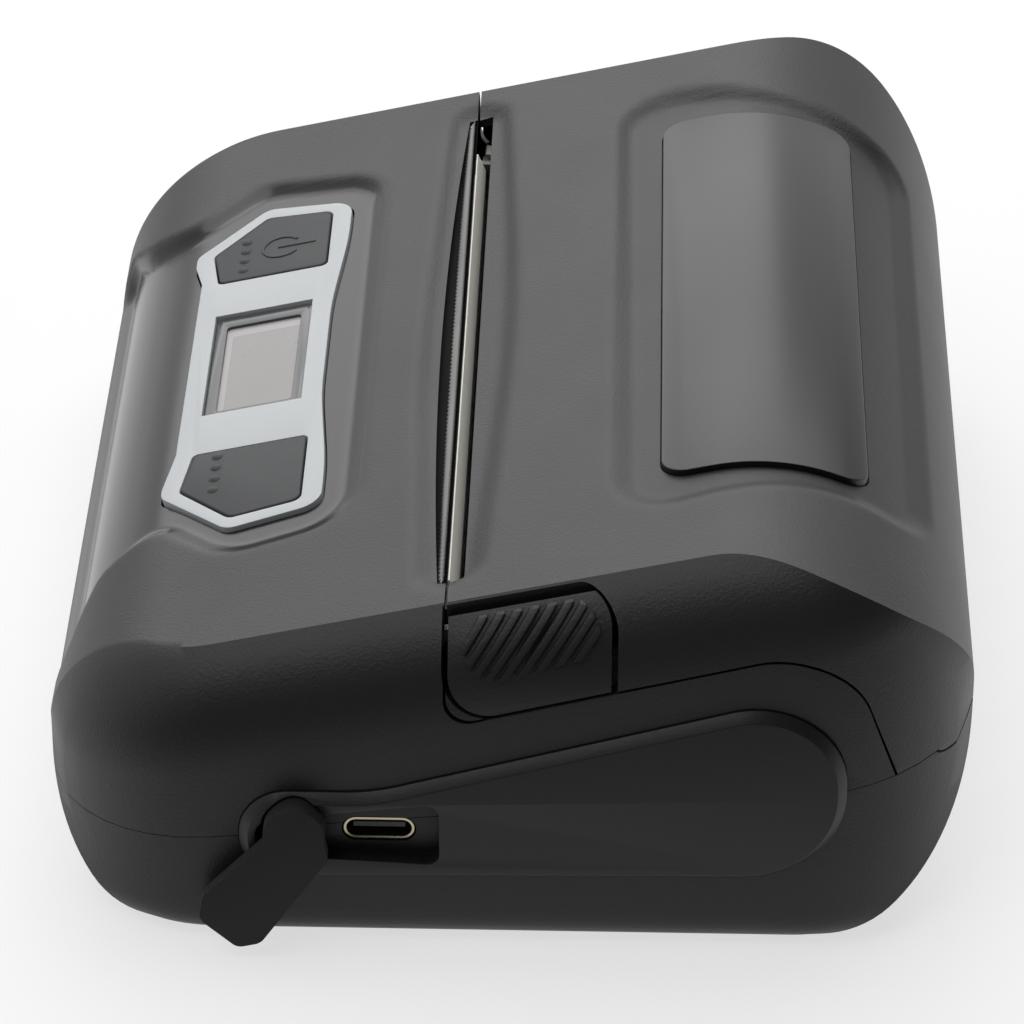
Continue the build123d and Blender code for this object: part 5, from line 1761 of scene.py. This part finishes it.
@dataclass
class Studio:
    """White table and backdrop in soft light that comes from above and from the far end."""

    light_from: tuple[float, float, float] = (-0.85, -0.5, 0.15)
    dim_side: float = 0.12
    lit_side: float = 1.0
    turn_low: float = -0.35
    turn_high: float = 0.65
    floor_half: float = 6.0
    floor_colour: str = "#A0A0A0"
    floor_glow: float = 0.66
    glow_from_x: float = 0.17
    glow_full_x: float = 0.05
    lamps: tuple[Softbox, ...] = (
        Softbox("overhead_softbox", (-0.45, 0.1, 1.0), (1.0, 1.0), 5.0),
        Softbox("far_softbox", (-0.52, -0.12, 0.36), (0.5, 0.4), 0.8, (-0.06, 0.02, 0.05)),
        Softbox("shoulder_softbox", (0.34, -0.3, 0.8), (0.45, 0.35), 0.9, (0.07, 0.0, 0.045)),
    )

    def build(self) -> None:
        """Make the floor, the world and the lamps."""
        self.build_floor()
        self.build_world()
        for lamp in self.lamps:
            lamp.build()
        bpy.context.scene.view_settings.view_transform = "Standard"

    def build_floor(self) -> None:
        """Make the white table: it keeps the printer's shadow, and reflects white at the far end."""
        half = self.floor_half
        mesh = bpy.data.meshes.new("table")
        mesh.from_pydata([(-half, -half, 0), (half, -half, 0), (half, half, 0), (-half, half, 0)], [],
                         [(0, 1, 2, 3)])
        table = bpy.data.objects.new("table", mesh)
        bpy.context.scene.collection.objects.link(table)
        material = bpy.data.materials.new("white_table")
        material.use_nodes = True
        tree = material.node_tree
        tree.nodes.clear()
        matt = add(tree, "ShaderNodeBsdfDiffuse", {"Color": linear(self.floor_colour)})
        rays = add(tree, "ShaderNodeLightPath")
        place = add(tree, "ShaderNodeNewGeometry").outputs["Position"]
        along = add(tree, "ShaderNodeSeparateXYZ", links={0: place}).outputs["X"]
        far = add(tree, "ShaderNodeMapRange", {"From Min": self.glow_from_x, "From Max": self.glow_full_x},
                  {"Value": along}, interpolation_type="SMOOTHSTEP")
        mirrored = add(tree, "ShaderNodeMath",
                       links={0: rays.outputs["Is Glossy Ray"], 1: rays.outputs["Is Transmission Ray"]},
                       operation="MAXIMUM")
        seen = add(tree, "ShaderNodeMath", links={0: mirrored.outputs[0], 1: far.outputs[0],
                                                  2: rays.outputs["Is Camera Ray"]}, operation="MULTIPLY_ADD")
        glow = add(tree, "ShaderNodeMath", {1: self.floor_glow}, {0: seen.outputs[0]}, operation="MULTIPLY")
        shine = add(tree, "ShaderNodeEmission", links={"Strength": glow.outputs[0]})
        both = add(tree, "ShaderNodeAddShader", links={0: matt.outputs[0], 1: shine.outputs[0]})
        add(tree, "ShaderNodeOutputMaterial", links={"Surface": both.outputs[0]})
        mesh.materials.append(material)

    def build_world(self) -> None:
        """Make the white surroundings: full white to the camera, and dimmer behind it as light."""
        world = bpy.data.worlds.new("white_room")
        bpy.context.scene.world = world
        world.use_nodes = True
        tree = world.node_tree
        tree.nodes.clear()
        ray = add(tree, "ShaderNodeTexCoord").outputs["Generated"]
        towards = tuple(Vector(self.light_from).normalized())
        turned = add(tree, "ShaderNodeVectorMath", {1: towards}, {0: ray}, operation="DOT_PRODUCT")
        light = add(tree, "ShaderNodeMapRange", {"From Min": self.turn_low, "From Max": self.turn_high,
                                                 "To Min": self.dim_side, "To Max": self.lit_side},
                    {"Value": turned.outputs["Value"]}, interpolation_type="SMOOTHSTEP")
        rays = add(tree, "ShaderNodeLightPath")
        strength = add(tree, "ShaderNodeMix", {3: 1.0},
                       {0: rays.outputs["Is Camera Ray"], 2: light.outputs[0]}, data_type="FLOAT")
        back = add(tree, "ShaderNodeBackground", links={"Strength": strength.outputs[0]})
        add(tree, "ShaderNodeOutputWorld", links={"Surface": back.outputs[0]})


def main() -> None:
    """Build the printer's looks and the studio round it."""
    logging.basicConfig(level=logging.INFO, format="%(name)s: %(message)s")
    Viewpoint().build()
    paint = Paintbox()
    for part in (Casing(paint), CoverLens(paint), Release(paint), TearBlade(paint), ControlPanel(paint),
                 ChargingPort(paint), Works(paint)):
        LOG.info("building %s", type(part).__name__)
        part.build()
    Studio().build()


if __name__ == "__main__":
    main()
